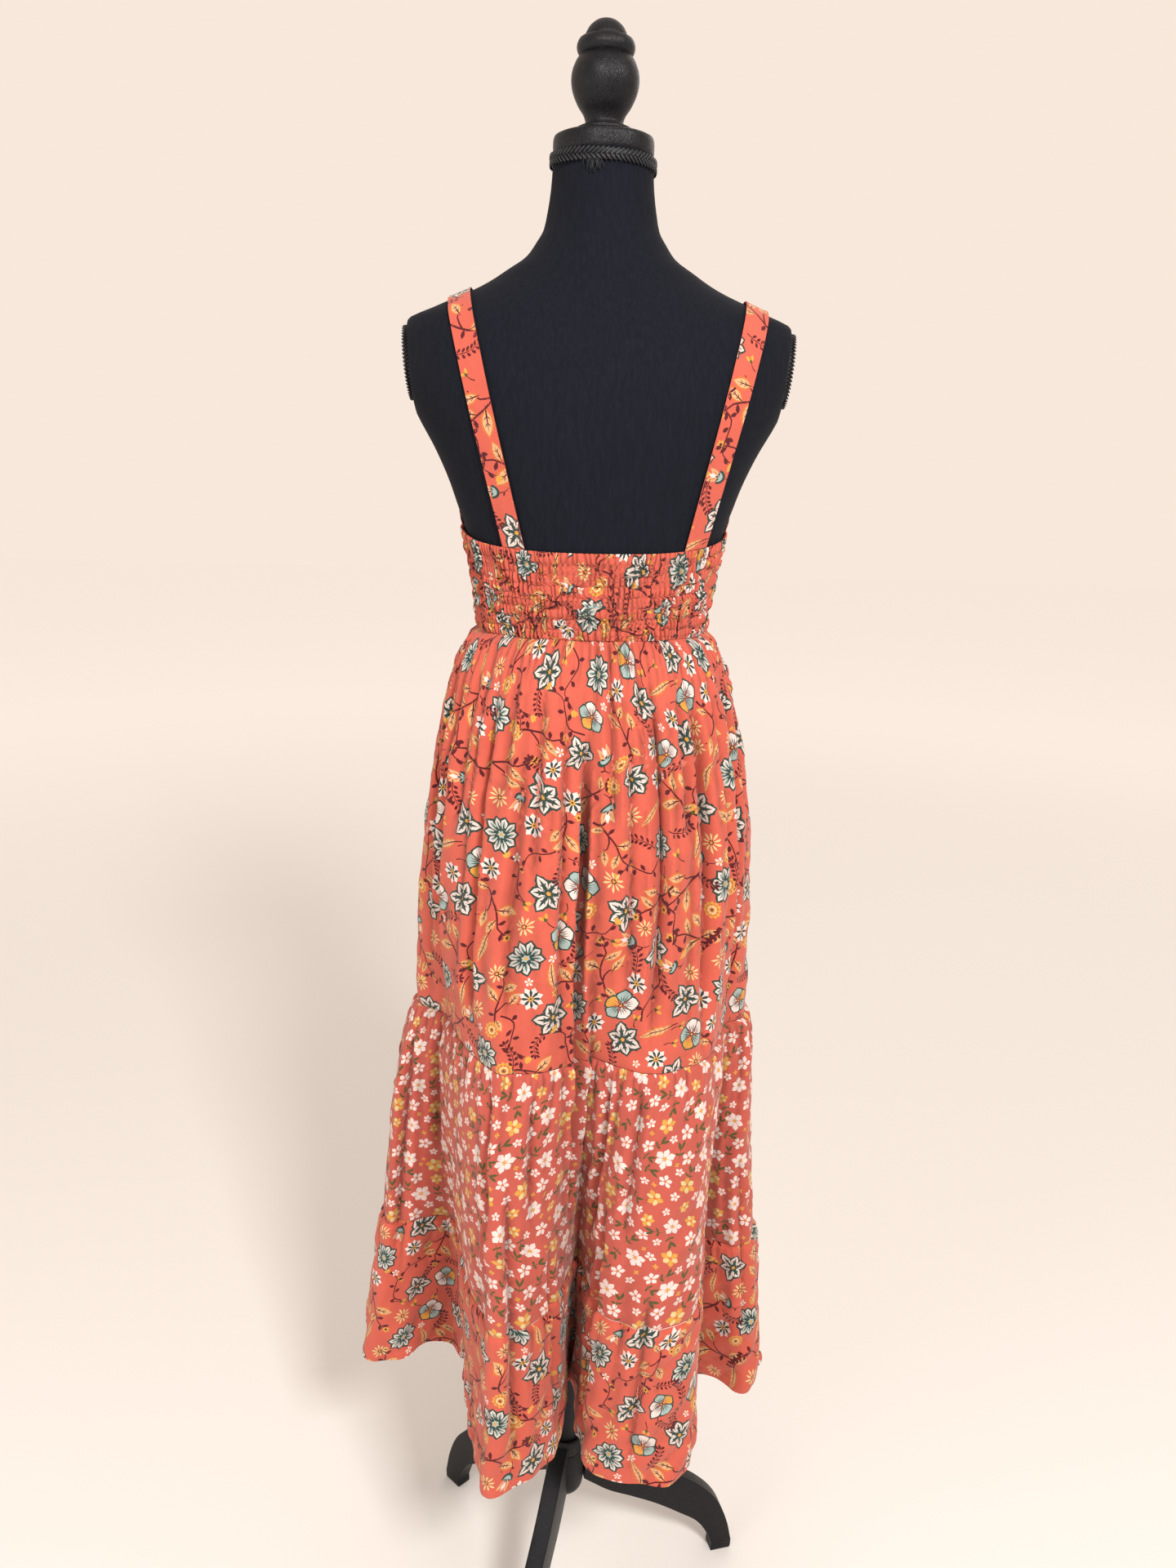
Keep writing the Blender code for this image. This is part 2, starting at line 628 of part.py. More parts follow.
def arm_pieces(side, sign, cover, trim):
    """The plate that closes an arm, and the braid round it."""
    place, out = arm_plane(sign)
    turn = out.to_track_quat("Z", "Y").to_matrix().to_4x4()
    across, tall = ARM_PLATE_AXES
    bm = bmesh.new()
    bmesh.ops.create_cone(
        bm,
        cap_ends=True,
        segments=TURN_STEPS,
        radius1=1.0,
        radius2=ARM_PLATE_FACE,
        depth=ARM_PLATE_THICKNESS,
    )
    flat = Matrix.Diagonal((tall, across, 1.0, 1.0))
    upright = Matrix.Rotation(math.pi / 2, 4, "Z")
    lift = Matrix.Translation((0.0, 0.0, ARM_PLATE_THICKNESS / 2 + SEAM_GAP))
    bm.transform(Matrix.Translation(place) @ turn @ upright @ lift @ flat)
    mesh = bpy.data.meshes.new(f"arm_plate_{side}")
    bm.to_mesh(mesh)
    bm.free()
    mesh.shade_smooth()
    mesh.set_sharp_from_angle(angle=SHARP)
    adopt(bpy.data.objects.new(f"arm_plate_{side}", mesh), cover)

    ring_a = across + ARM_BRAID_RADIUS + SEAM_GAP
    ring_b = tall + ARM_BRAID_RADIUS + SEAM_GAP
    points, faces = [], []
    for i in range(BRAID_RINGS):
        angle = math.tau * i / BRAID_RINGS
        spoke = Vector((ring_b * math.cos(angle), ring_a * math.sin(angle), 0.0))
        facing = Vector((ring_a * math.cos(angle), ring_b * math.sin(angle), 0.0)).normalized()
        for k in range(BRAID_SIDES):
            bend = math.tau * (k + 0.5) / BRAID_SIDES
            round_it = facing * math.cos(bend) + Vector((0, 0, 1)) * math.sin(bend)
            off = Vector((0, 0, ARM_BRAID_RADIUS + SEAM_GAP))
            points.append(spoke + round_it * ARM_BRAID_RADIUS + off)
            here, ahead = i * BRAID_SIDES, (i + 1) % BRAID_RINGS * BRAID_SIDES
            over = (k + 1) % BRAID_SIDES
            faces.append((here + k, ahead + k, ahead + over, here + over))
    moved = Matrix.Translation(place) @ turn @ upright
    from_faces(f"arm_braid_{side}", [moved @ p for p in points], faces, trim)


def leg(name, degrees, finish):
    """A curved leg sawn from a board, standing out from the hub."""
    outline = bpy.data.curves.new(name, "CURVE")
    outline.dimensions = "2D"
    outline.fill_mode = "BOTH"
    outline.extrude = LEG_THICKNESS / 2
    spline = outline.splines.new("POLY")
    corners = [*LEG_TOP, *FOOT, *LEG_UNDER]
    spline.points.add(len(corners) - 1)
    for point, (radius, height) in zip(spline.points, corners):
        point.co = (radius, height, 0.0, 1.0)
    spline.use_cyclic_u = True
    obj = adopt(bpy.data.objects.new(name, outline), finish)
    obj.rotation_euler = (math.pi / 2, 0.0, math.radians(degrees))
    obj.location = STAND_OFFSET
    return obj


# Build

clear_scene()
parts = bpy.data.collections.new("tiered_dress_on_form")
bpy.context.scene.collection.children.link(parts)
axis = bpy.data.objects.new("stand_axis", None)
axis.location = AXIS
parts.objects.link(axis)

coral_print = material("coral_print_cloth", (0.84, 0.15, 0.10), 0.7)
small_print = material("small_print_cloth", (0.62, 0.13, 0.09), 0.7)
jersey = material("black_jersey", (0.016, 0.016, 0.021), 0.85)
braid = material("black_braid", (0.010, 0.010, 0.012), 0.7)
wood = material("black_wood", (0.028, 0.024, 0.022), 0.45)

tiers = (
    ("skirt_upper", WAIST_SEAM, MIDDLE_SEAM, UPPER_COLUMNS, UPPER_ROWS, coral_print),
    ("skirt_middle", MIDDLE_SEAM, LOWER_SEAM, MIDDLE_COLUMNS, MIDDLE_ROWS, small_print),
    ("skirt_lower", LOWER_SEAM, HEM, LOWER_COLUMNS, LOWER_ROWS, coral_print),
)
for tier, tier_top, tier_bottom, tier_columns, tier_rows, cloth in tiers:
    for side_name, half_start in (("back", 0.0), ("front", 1.0)):
        piece = f"{tier}_{side_name}"
        skirt_piece(piece, half_start, tier_top, tier_bottom, tier_columns, tier_rows, cloth)
bodice_back(coral_print)
bodice_front(coral_print)
for strap_name, at_back, at_shoulder, at_front in STRAPS:
    strap(strap_name, at_back, at_shoulder, at_front, coral_print)

torso(jersey)
arm_pieces("left", -1, jersey, braid)
arm_pieces("right", 1, jersey, braid)
turned("neck_cap", CAP_PROFILE, wood, CAP_STEPS)
turned("finial", FINIAL_PROFILE, wood, TURN_STEPS)
turned("neck_braid", BRAID_PROFILE, braid, TORSO_COLUMNS)

post = turned("post", POST_PROFILE, wood, TURN_STEPS)
post.location = STAND_OFFSET
hub = turned("hub", HUB_PROFILE, wood, TURN_STEPS)
hub.location = STAND_OFFSET
for leg_name, leg_angle in LEG_ANGLES.items():
    leg(leg_name, leg_angle, wood)
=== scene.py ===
"""Looks of the tiered dress on its form: printed cloth shells, jersey, braid and black wood.

The cloth's print is real geometry colour: each panel is drawn flat, cut into triangles along the edges of
its motifs, and laid over the folds of the skirt. The colours also hold painted shade, darker in the folds'
valleys. Plan positions are from the axis of the stand.
"""

import math

import bmesh
import bpy
import numpy as np
from mathutils import Matrix, Vector
from mathutils.bvhtree import BVHTree
from mathutils.geometry import delaunay_2d_cdt


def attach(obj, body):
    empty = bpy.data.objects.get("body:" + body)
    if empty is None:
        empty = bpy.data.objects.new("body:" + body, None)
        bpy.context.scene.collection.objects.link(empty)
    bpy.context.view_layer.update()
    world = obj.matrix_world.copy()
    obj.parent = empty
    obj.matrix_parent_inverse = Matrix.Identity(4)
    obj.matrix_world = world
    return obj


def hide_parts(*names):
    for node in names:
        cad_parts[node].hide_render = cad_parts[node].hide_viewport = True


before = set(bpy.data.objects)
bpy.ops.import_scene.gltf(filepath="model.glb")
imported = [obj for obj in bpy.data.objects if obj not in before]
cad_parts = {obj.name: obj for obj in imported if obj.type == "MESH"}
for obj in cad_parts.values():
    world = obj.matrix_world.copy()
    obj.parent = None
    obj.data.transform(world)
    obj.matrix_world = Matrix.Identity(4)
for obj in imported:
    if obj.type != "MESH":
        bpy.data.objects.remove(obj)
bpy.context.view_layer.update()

AXIS = np.array([0.0165, 0.0045, 0.0])
STAND = AXIS + np.array([-0.008, 0.004, 0.0])
CLOTH = 0.0012
BODY_CLEARANCE = 0.0013
WALL = 0.0015
STRAP_CLEARANCE = 0.0017
STRAP_WIDTH = 0.020
WAIST, MIDDLE, LOWER, HEM = 1.188, 0.785, 0.513, 0.325
GAP = 0.00015
BACK_TOP_MIDDLE, BACK_TOP_RISE, BACK_TOP_POWER = 1.267, 0.018, 2.5
FRONT_STRAP_FOOT = 1.3626
TUNNELS = 8
SIDE_MARGIN = 0.0006

FORM_COLUMNS = ("height", "half", "back", "front", "square")
FORM = (
    (1.6115, 0.0450, 0.0450, 0.0450, 2.00), (1.5850, 0.0468, 0.0465, 0.0462, 2.00),
    (1.5660, 0.0495, 0.0490, 0.0480, 2.00), (1.5500, 0.0530, 0.0520, 0.0500, 2.00),
    (1.5380, 0.0600, 0.0550, 0.0520, 2.00), (1.5260, 0.0690, 0.0585, 0.0540, 2.00),
    (1.5140, 0.0870, 0.0620, 0.0560, 2.00), (1.5050, 0.1010, 0.0650, 0.0580, 2.00),
    (1.4970, 0.1160, 0.0680, 0.0600, 2.05), (1.4890, 0.1350, 0.0715, 0.0630, 2.05),
    (1.4800, 0.1560, 0.0760, 0.0660, 2.10), (1.4700, 0.1780, 0.0810, 0.0700, 2.10),
    (1.4550, 0.1860, 0.0880, 0.0750, 2.15), (1.4200, 0.1825, 0.1000, 0.0870, 2.20),
    (1.3900, 0.1720, 0.1060, 0.0980, 2.20), (1.3530, 0.1520, 0.1080, 0.1130, 2.20),
    (1.3250, 0.1395, 0.1070, 0.1220, 2.20), (1.3050, 0.1325, 0.1055, 0.1265, 2.20),
    (1.2850, 0.1255, 0.1035, 0.1280, 2.20), (1.2610, 0.1195, 0.1015, 0.1250, 2.20),
    (1.2350, 0.1145, 0.0990, 0.1180, 2.20), (1.2100, 0.1110, 0.0970, 0.1110, 2.20),
    (1.1700, 0.1075, 0.0935, 0.1040, 2.20), (1.1000, 0.1060, 0.0910, 0.0940, 2.20),
    (1.0400, 0.1190, 0.1020, 0.0980, 2.20), (0.9800, 0.1380, 0.1160, 0.1040, 2.20),
    (0.9300, 0.1480, 0.1230, 0.1080, 2.20), (0.8850, 0.1490, 0.1230, 0.1070, 2.20),
    (0.8650, 0.1460, 0.1200, 0.1040, 2.20),
)
SKIRT_COLUMNS = ("height", "left", "right", "back", "front", "folded")
SKIRT = (
    (1.1880, 0.1115, 0.1115, 0.0977, 0.1097, 0.00), (1.1820, 0.1155, 0.1155, 0.1015, 0.1130, 0.00),
    (1.1700, 0.1230, 0.1230, 0.1090, 0.1180, 0.01), (1.1500, 0.1320, 0.1320, 0.1185, 0.1245, 0.02),
    (1.1300, 0.1385, 0.1380, 0.1250, 0.1290, 0.03), (1.0600, 0.1550, 0.1555, 0.1400, 0.1390, 0.06),
    (0.9700, 0.1680, 0.1685, 0.1540, 0.1490, 0.11), (0.8800, 0.1760, 0.1720, 0.1640, 0.1560, 0.20),
    (0.7850, 0.1790, 0.1750, 0.1720, 0.1610, 0.34), (0.7400, 0.1950, 0.1830, 0.1800, 0.1700, 0.42),
    (0.6200, 0.2125, 0.1905, 0.1880, 0.1820, 0.62), (0.5130, 0.2230, 0.2010, 0.1950, 0.1900, 0.78),
    (0.4800, 0.2300, 0.2060, 0.1960, 0.1930, 0.84), (0.4000, 0.2420, 0.2125, 0.1965, 0.1990, 0.93),
    (0.3250, 0.2505, 0.2190, 0.1975, 0.2050, 1.00),
)
# Lobes of the hem in plan: first shoulder, tip, last shoulder and the bottom of the valley after it
LOBES = (
    ((-0.236, 0.054), (-0.2505, 0.022), (-0.232, -0.014), (-0.146, 0.024)),
    ((-0.108, -0.125), (-0.081, -0.197), (-0.023, -0.150), (-0.003, -0.030)),
    ((0.018, -0.160), (0.066, -0.181), (0.121, -0.160), (0.142, -0.022)),
    ((0.196, -0.045), (0.219, 0.008), (0.201, 0.048), (0.132, 0.062)),
    ((0.150, 0.118), (0.142, 0.160), (0.099, 0.163), (0.080, 0.068)),
    ((0.077, 0.176), (0.050, 0.204), (0.013, 0.192), (0.002, 0.080)),
    ((-0.015, 0.189), (-0.052, 0.200), (-0.080, 0.172), (-0.088, 0.070)),
    ((-0.110, 0.168), (-0.160, 0.156), (-0.167, 0.110), (-0.140, 0.058)),
)
RIGHT_LOBE = 3
# Broad folds: share round the skirt (0 to 1 the back, 1 to 2 the front), top, bottom, depth, half width
FOLDS = (
    (0.10, 1.17, 0.80, 0.006, 0.030), (0.24, 1.18, 0.86, 0.007, 0.022), (0.37, 1.16, 0.62, 0.005, 0.025),
    (0.50, 1.16, 0.79, 0.010, 0.030), (0.62, 1.18, 0.90, 0.006, 0.022), (0.73, 1.17, 0.70, 0.007, 0.025),
    (0.88, 1.18, 0.82, 0.006, 0.030), (0.31, 0.76, 0.36, 0.005, 0.018), (0.67, 0.77, 0.34, 0.006, 0.018),
    (1.12, 1.17, 0.80, 0.006, 0.030), (1.27, 1.18, 0.84, 0.007, 0.024), (1.41, 1.16, 0.66, 0.006, 0.024),
    (1.55, 1.18, 0.80, 0.008, 0.028), (1.69, 1.17, 0.88, 0.006, 0.022), (1.80, 1.16, 0.70, 0.007, 0.026),
    (1.92, 1.18, 0.80, 0.005, 0.026),
)
# Creases laid over the broad folds: share at the top and at the bottom, top, bottom, depth
# (below 0 for a ridge) and half width in metres
CREASES = (
    (0.497, 0.500, 1.115, 0.560, 0.0200, 0.0062), (0.452, 0.462, 1.135, 0.800, 0.0050, 0.0050),
    (0.400, 0.395, 1.150, 0.960, 0.0035, 0.0055), (0.372, 0.352, 1.100, 0.810, 0.0045, 0.0080),
    (0.335, 0.330, 1.170, 1.040, 0.0040, 0.0050), (0.285, 0.262, 1.160, 0.790, 0.0085, 0.0075),
    (0.215, 0.205, 1.165, 0.980, 0.0045, 0.0060), (0.160, 0.140, 1.150, 0.800, 0.0070, 0.0080),
    (0.090, 0.085, 1.170, 0.940, 0.0050, 0.0070), (0.548, 0.552, 1.160, 1.010, 0.0040, 0.0050),
    (0.590, 0.600, 1.130, 0.830, 0.0050, 0.0070), (0.640, 0.662, 1.165, 0.795, 0.0105, 0.0065),
    (0.705, 0.712, 1.155, 1.000, 0.0040, 0.0055), (0.742, 0.765, 1.165, 0.760, 0.0100, 0.0070),
    (0.810, 0.830, 1.160, 0.860, 0.0050, 0.0070), (0.870, 0.880, 1.170, 0.800, 0.0080, 0.0080),
    (0.930, 0.935, 1.160, 0.990, 0.0050, 0.0060), (0.425, 0.430, 0.930, 0.790, -0.0025, 0.0080),
    (0.060, 0.050, 0.775, 0.420, 0.0060, 0.0090), (0.130, 0.120, 0.780, 0.600, 0.0050, 0.0070),
    (0.185, 0.180, 0.700, 0.380, 0.0045, 0.0080), (0.330, 0.322, 0.780, 0.540, 0.0060, 0.0070),
    (0.365, 0.372, 0.690, 0.330, 0.0060, 0.0075), (0.405, 0.400, 0.775, 0.610, 0.0040, 0.0060),
    (0.430, 0.436, 0.600, 0.340, 0.0050, 0.0080), (0.585, 0.575, 0.780, 0.560, 0.0055, 0.0070),
    (0.615, 0.622, 0.640, 0.325, 0.0060, 0.0080), (0.655, 0.660, 0.780, 0.600, 0.0060, 0.0065),
    (0.700, 0.695, 0.560, 0.325, 0.0050, 0.0080), (0.880, 0.890, 0.775, 0.470, 0.0055, 0.0080),
    (0.940, 0.945, 0.650, 0.350, 0.0045, 0.0080), (0.820, 0.815, 0.700, 0.520, 0.0040, 0.0070),
    (1.060, 1.050, 1.165, 0.820, 0.0070, 0.0080), (1.140, 1.155, 1.160, 0.930, 0.0050, 0.0065),
    (1.200, 1.215, 1.170, 0.790, 0.0085, 0.0075), (1.300, 1.310, 1.140, 0.860, 0.0050, 0.0065),
    (1.352, 1.345, 1.165, 0.800, 0.0080, 0.0070), (1.440, 1.452, 1.120, 0.810, 0.0055, 0.0065),
    (1.505, 1.500, 1.160, 0.770, 0.0095, 0.0070), (1.590, 1.600, 1.165, 0.980, 0.0045, 0.0060),
    (1.642, 1.655, 1.150, 0.800, 0.0080, 0.0075), (1.735, 1.725, 1.170, 0.860, 0.0060, 0.0070),
    (1.850, 1.862, 1.160, 0.800, 0.0075, 0.0080), (1.950, 1.945, 1.165, 0.930, 0.0050, 0.0065),
    (1.080, 1.090, 0.770, 0.450, 0.0050, 0.0080), (1.180, 1.172, 0.760, 0.560, 0.0050, 0.0070),
    (1.320, 1.325, 0.740, 0.400, 0.0055, 0.0080), (1.430, 1.436, 0.775, 0.600, 0.0045, 0.0070),
    (1.560, 1.552, 0.700, 0.360, 0.0055, 0.0080), (1.690, 1.700, 0.775, 0.520, 0.0050, 0.0070),
    (1.800, 1.806, 0.740, 0.400, 0.0050, 0.0080), (1.930, 1.925, 0.770, 0.480, 0.0055, 0.0080),
)
FRONT_EDGE = (
    (0.00, 1.3000), (0.12, 1.3150), (0.22, 1.3400), (0.29, 1.3622), (0.43, 1.3622), (0.56, 1.3440),
    (0.74, 1.3180), (0.90, 1.3020), (1.00, 1.2852),
)
STRAPS = (("strap_left", -0.0710, -0.1275, -0.0880), ("strap_right", 0.0913, 0.1427, 0.0880))
CAP_PROFILE = (
    (0.0000, 1.6320), (0.0240, 1.6312), (0.0400, 1.6288), (0.0446, 1.6268), (0.0455, 1.6240),
    (0.0455, 1.6140), (0.0448, 1.6118), (0.0000, 1.6118),
)
FINIAL_PROFILE = (
    (0.0000, 1.7228), (0.0080, 1.7213), (0.0151, 1.7160), (0.0186, 1.7096), (0.0188, 1.7082),
    (0.0238, 1.7058), (0.0260, 1.7000), (0.0248, 1.6950), (0.0232, 1.6932), (0.0262, 1.6890),
    (0.0294, 1.6815), (0.0305, 1.6740), (0.0292, 1.6645), (0.0241, 1.6530), (0.0190, 1.6455),
    (0.0172, 1.6395), (0.0180, 1.6372), (0.0215, 1.6362), (0.0253, 1.6345), (0.0253, 1.6323),
    (0.0000, 1.6323),
)
HUB_PROFILE = (
    (0.0000, 0.2202), (0.0205, 0.2202), (0.0220, 0.2184), (0.0220, 0.2010), (0.0213, 0.2000),
    (0.0220, 0.1990), (0.0220, 0.1520), (0.0200, 0.1455), (0.0140, 0.1390), (0.0060, 0.1360),
    (0.0000, 0.1355),
)
POST_PROFILE = (
    (0.0000, 0.8647), (0.0165, 0.8647), (0.0180, 0.8632), (0.0180, 0.2220), (0.0176, 0.2205),
    (0.0000, 0.2205),
)
LEG_TOP = (
    (0.0225, 0.214), (0.050, 0.196), (0.085, 0.166), (0.120, 0.143), (0.150, 0.1255), (0.177, 0.104),
    (0.198, 0.079), (0.213, 0.044), (0.2205, 0.012),
)
LEG_UNDER = (
    (0.194, 0.010), (0.186, 0.031), (0.172, 0.052), (0.149, 0.070), (0.117, 0.0925), (0.083, 0.112),
    (0.055, 0.127), (0.035, 0.142), (0.0225, 0.152),
)
LEGS = {"leg_right": 15.0, "leg_left": 135.0, "leg_near": 255.0}
LEG_FOOT = ((0.2203, 0.0035), (0.2192, 0.0), (0.1937, 0.0), (0.1934, 0.0035))
LEG_THICKNESS = 0.020
# The covers that close the arms: half sizes of the oval, and its rings' share of them and height
ARM_HALF_WIDTH, ARM_HALF_HEIGHT = 0.0255, 0.0305
ARM_COVER = ((1.0, 0.0003), (1.0, 0.0026), (0.985, 0.0034), (0.9, 0.0039), (0.6, 0.0043), (0.3, 0.0045))
ARM_COVER_TOP = 0.0046
ARM_TILT, ARM_OUT, ARM_UP = 5.0, 0.1732, 1.4325
# The gimp braids' threads lie in rows that lean towards each other by so many degrees
CORD_ROWS, CORD_LEAN = 2, 46.0

# Points of half a ring of the skirt, before it is laid evenly into a panel's columns
DENSE = 1400
DENSE_SHARE = np.linspace(0.0, 2.0, 2 * DENSE + 1)


# Curves and sections


def monotone(table, column, columns, at):
    rows = sorted(table)
    x = np.array([row[0] for row in rows], float)
    y = np.array([row[columns.index(column)] for row in rows], float)
    step = np.diff(y) / np.diff(x)
    slope = np.zeros(len(x))
    slope[0], slope[-1] = step[0], step[-1]
    same = step[:-1] * step[1:] > 0
    slope[1:-1][same] = 2 * step[:-1][same] * step[1:][same] / (step[:-1][same] + step[1:][same])
    at = np.clip(np.asarray(at, float), x[0], x[-1])
    span = np.clip(np.searchsorted(x, at) - 1, 0, len(x) - 2)
    width = x[span + 1] - x[span]
    s = (at - x[span]) / width
    return (
        y[span] * (1 + 2 * s) * (1 - s) ** 2
        + slope[span] * width * s * (1 - s) ** 2
        + y[span + 1] * s**2 * (3 - 2 * s)
        + slope[span + 1] * width * s**2 * (s - 1)
    )


def catmull(points, per_span, closed=True):
    """A centripetal Catmull-Rom curve through plane or space points."""
    points = np.asarray(points, float)
    if not closed:
        points = np.concatenate([[2 * points[0] - points[1]], points, [2 * points[-1] - points[-2]]])
    count = len(points)
    spans = range(count) if closed else range(1, count - 2)
    found = []
    for i in spans:
        p = [points[(i + k) % count] for k in (-1, 0, 1, 2)]
        knot = [0.0]
        for a, b in zip(p, p[1:]):
            knot.append(knot[-1] + max(math.sqrt(np.linalg.norm(b - a)), 1e-9))
        t = np.linspace(knot[1], knot[2], per_span, endpoint=False)[:, None]

        def mixed(a, b, ta, tb):
            return a * (tb - t) / (tb - ta) + b * (t - ta) / (tb - ta)

        first = [mixed(p[k], p[k + 1], knot[k], knot[k + 1]) for k in range(3)]
        second = [mixed(first[k], first[k + 1], knot[k], knot[k + 2]) for k in range(2)]
        found.append(mixed(second[0], second[1], knot[1], knot[2]))
    if not closed:
        found.append(points[-2][None])
    return np.concatenate(found)


def lengths(points):
    return np.concatenate([[0.0], np.cumsum(np.linalg.norm(np.diff(points, axis=0), axis=1))])


def even(points, count):
    length = lengths(points)
    at = np.linspace(0.0, length[-1], count)
    return np.stack([np.interp(at, length, points[:, k]) for k in range(points.shape[1])], axis=1)


def superellipse(share, left, right, back, front, square):
    angle = math.pi * (1 + np.asarray(share, float))
    c, s = np.cos(angle), np.sin(angle)
    x = np.sign(c) * np.abs(c) ** (2 / square) * np.where(c < 0, left, right)
    y = np.sign(s) * np.abs(s) ** (2 / square) * np.where(s < 0, back, front)
    return np.stack([x, y], axis=1)


def outward(ring):
    along = np.gradient(ring, axis=0)
    along /= np.linalg.norm(along, axis=1)[:, None]
    return np.stack([along[:, 1], -along[:, 0]], axis=1)


def form_section(height, share):
    half, back, front, square = (float(monotone(FORM, n, FORM_COLUMNS, height)) for n in FORM_COLUMNS[1:])
    share = np.asarray(share, float)
    points = superellipse(share, half, half, back, front, square)
    along = superellipse(share + 1e-4, half, half, back, front, square)
    along -= superellipse(share - 1e-4, half, half, back, front, square)
    along /= np.linalg.norm(along, axis=1)[:, None]
    return points, np.stack([along[:, 1], -along[:, 0]], axis=1)


def hem_lobes():
    ring = [place for row in LOBES for place in row]
    per_span = 60
    curve = np.roll(catmull(ring, per_span), -per_span, axis=0)
    right_tip = RIGHT_LOBE * 4 * per_span
    curve = np.concatenate([curve, curve[:1]])
    return np.concatenate([even(curve[: right_tip + 1], DENSE + 1), even(curve[right_tip:], DENSE + 1)[1:]])


LOBED = hem_lobes()


def even_oval(left, right, back, front):
    halves = []
    for start in (0.0, 1.0):
        share = start + np.linspace(0.0, 1.0, DENSE + 1)
        halves.append(even(superellipse(share, left, right, back, front, 2.2), DENSE + 1))
    return np.concatenate([halves[0], halves[1][1:]])


def fitted(ring, left, right, back, front):
    x, y = ring[:, 0], ring[:, 1]
    x = np.where(x < 0, x * left / -x.min(), x * right / x.max())
    y = np.where(y < 0, y * back / -y.min(), y * front / y.max())
    return np.stack([x, y], axis=1)


def skirt_ring(height):
    """The whole dense ring of the skirt at a height, before its gathers and creases."""
    reach = [float(monotone(SKIRT, n, SKIRT_COLUMNS, height)) for n in SKIRT_COLUMNS[1:]]
    folded = reach.pop()
    ring = (1 - folded) * even_oval(*reach) + folded * fitted(LOBED, *reach)
    ring = fitted(ring, *reach)
    normal = outward(ring)
    sunk = np.zeros(len(ring))
    for place, top, bottom, depth, half in FOLDS:
        if bottom < height < top:
            strength = math.sin(math.pi * (top - height) / (top - bottom)) ** 0.7
            sunk += depth * strength * np.exp(-(((DENSE_SHARE - place) / half) ** 2))
    return ring - normal * sunk[:, None]


def back_top(share):
    return BACK_TOP_MIDDLE + BACK_TOP_RISE * np.abs(2 * share - 1) ** BACK_TOP_POWER


def front_top(share):
    return monotone(FRONT_EDGE, "height", ("out", "height"), np.abs(2 * share - 3))


# Panels: a cloth surface as a grid of places over the flat cut, even along the cloth in each row


class Panel:
    def __init__(self, width, height, places):
        """places: rows by columns by 3. Rows run down the cloth and columns run along it."""
        self.width, self.height = width, height
        self.places = places
        along = np.gradient(places, axis=1)
        down = np.gradient(places, axis=0)
        normal = np.cross(down, along)
        self.normals = normal / np.maximum(np.linalg.norm(normal, axis=2), 1e-12)[:, :, None]
        self.rows, self.columns = places.shape[:2]

    def spread(self, grid, flat):
        """A grid's values at flat points, where x runs along the cloth and y down it."""
        x = np.clip(flat[:, 0] / self.width, 0, 1) * (self.columns - 1)
        y = np.clip(flat[:, 1] / self.height, 0, 1) * (self.rows - 1)
        j = np.clip(x.astype(int), 0, self.columns - 2)
        i = np.clip(y.astype(int), 0, self.rows - 2)
        a, b = (x - j)[:, None], (y - i)[:, None]
        top = grid[i, j] * (1 - a) + grid[i, j + 1] * a
        low = grid[i + 1, j] * (1 - a) + grid[i + 1, j + 1] * a
        return top * (1 - b) + low * b

    def at(self, flat):
        normal = self.spread(self.normals, flat)
        return self.spread(self.places, flat), normal / np.linalg.norm(normal, axis=1)[:, None]

    def tone(self, flat, reach, deep, dark):
        """Painted shade for the print: a share of its brightness, less where the cloth lies deeper than the
        cloth about it.
        """
        half = max(int(reach * (self.columns - 1) / lengths(self.places[self.rows // 2])[-1]), 1)
        total = np.pad(self.places, ((0, 0), (half + 1, half), (0, 0)), mode="edge").cumsum(axis=1)
        mean = (total[:, 2 * half + 1 :] - total[:, : -2 * half - 1]) / (2 * half + 1)
        sunk = ((mean - self.places) * self.normals).sum(axis=2)[:, :, None]
        return 1 - dark * self.spread(np.clip(sunk / deep, 0, 1), flat)[:, 0]


def soft_noise(seed, waves, shortest, longest, upright):
    """A smooth field over (along, height), as a sum of plane waves that mostly run up the cloth."""
    rng = np.random.default_rng(seed)
    parts = []
    for _ in range(waves):
        size = rng.uniform(shortest, longest)
        lean = rng.normal(0.0, upright)
        pace = math.tau / size
        parts.append((pace * math.cos(lean), pace * math.sin(lean), rng.uniform(0, math.tau)))

    def field(along, height):
        total = sum(np.sin(kx * along + ky * height + turn) for kx, ky, turn in parts)
        return total / math.sqrt(waves)

    return field


# Shares of the creases' depths and half widths, with less for the deep ones
CREASE_DEPTH, DEEP_CREASE_DEPTH, CREASE_WIDTH = 1.55, 1.1, 0.78
DEEP_CREASE = 0.015


def creases(share, height, length):
    """Depth of the hand-laid creases, by share of the ring. length is that of half the ring."""
    sunk = np.zeros(len(share))
    for first, last, top, bottom, depth, half in CREASES:
        if not bottom < height < top:
            continue
        down = (top - height) / (top - bottom)
        place = first + (last - first) * down
        rise = min(1.0, down / 0.22)
        fall = min(1.0, (1 - down) / 0.30)
        strength = (rise * rise * (3 - 2 * rise)) * (fall * fall * (3 - 2 * fall))
        off = np.abs(share - place) * length / (CREASE_WIDTH * half * (0.75 + 0.5 * down))
        cut = np.exp(-(off**1.45)) - 0.30 * np.exp(-(((off - 2.0) / 0.9) ** 2))
        sunk += (CREASE_DEPTH if abs(depth) < DEEP_CREASE else DEEP_CREASE_DEPTH) * depth * strength * cut
    return sunk


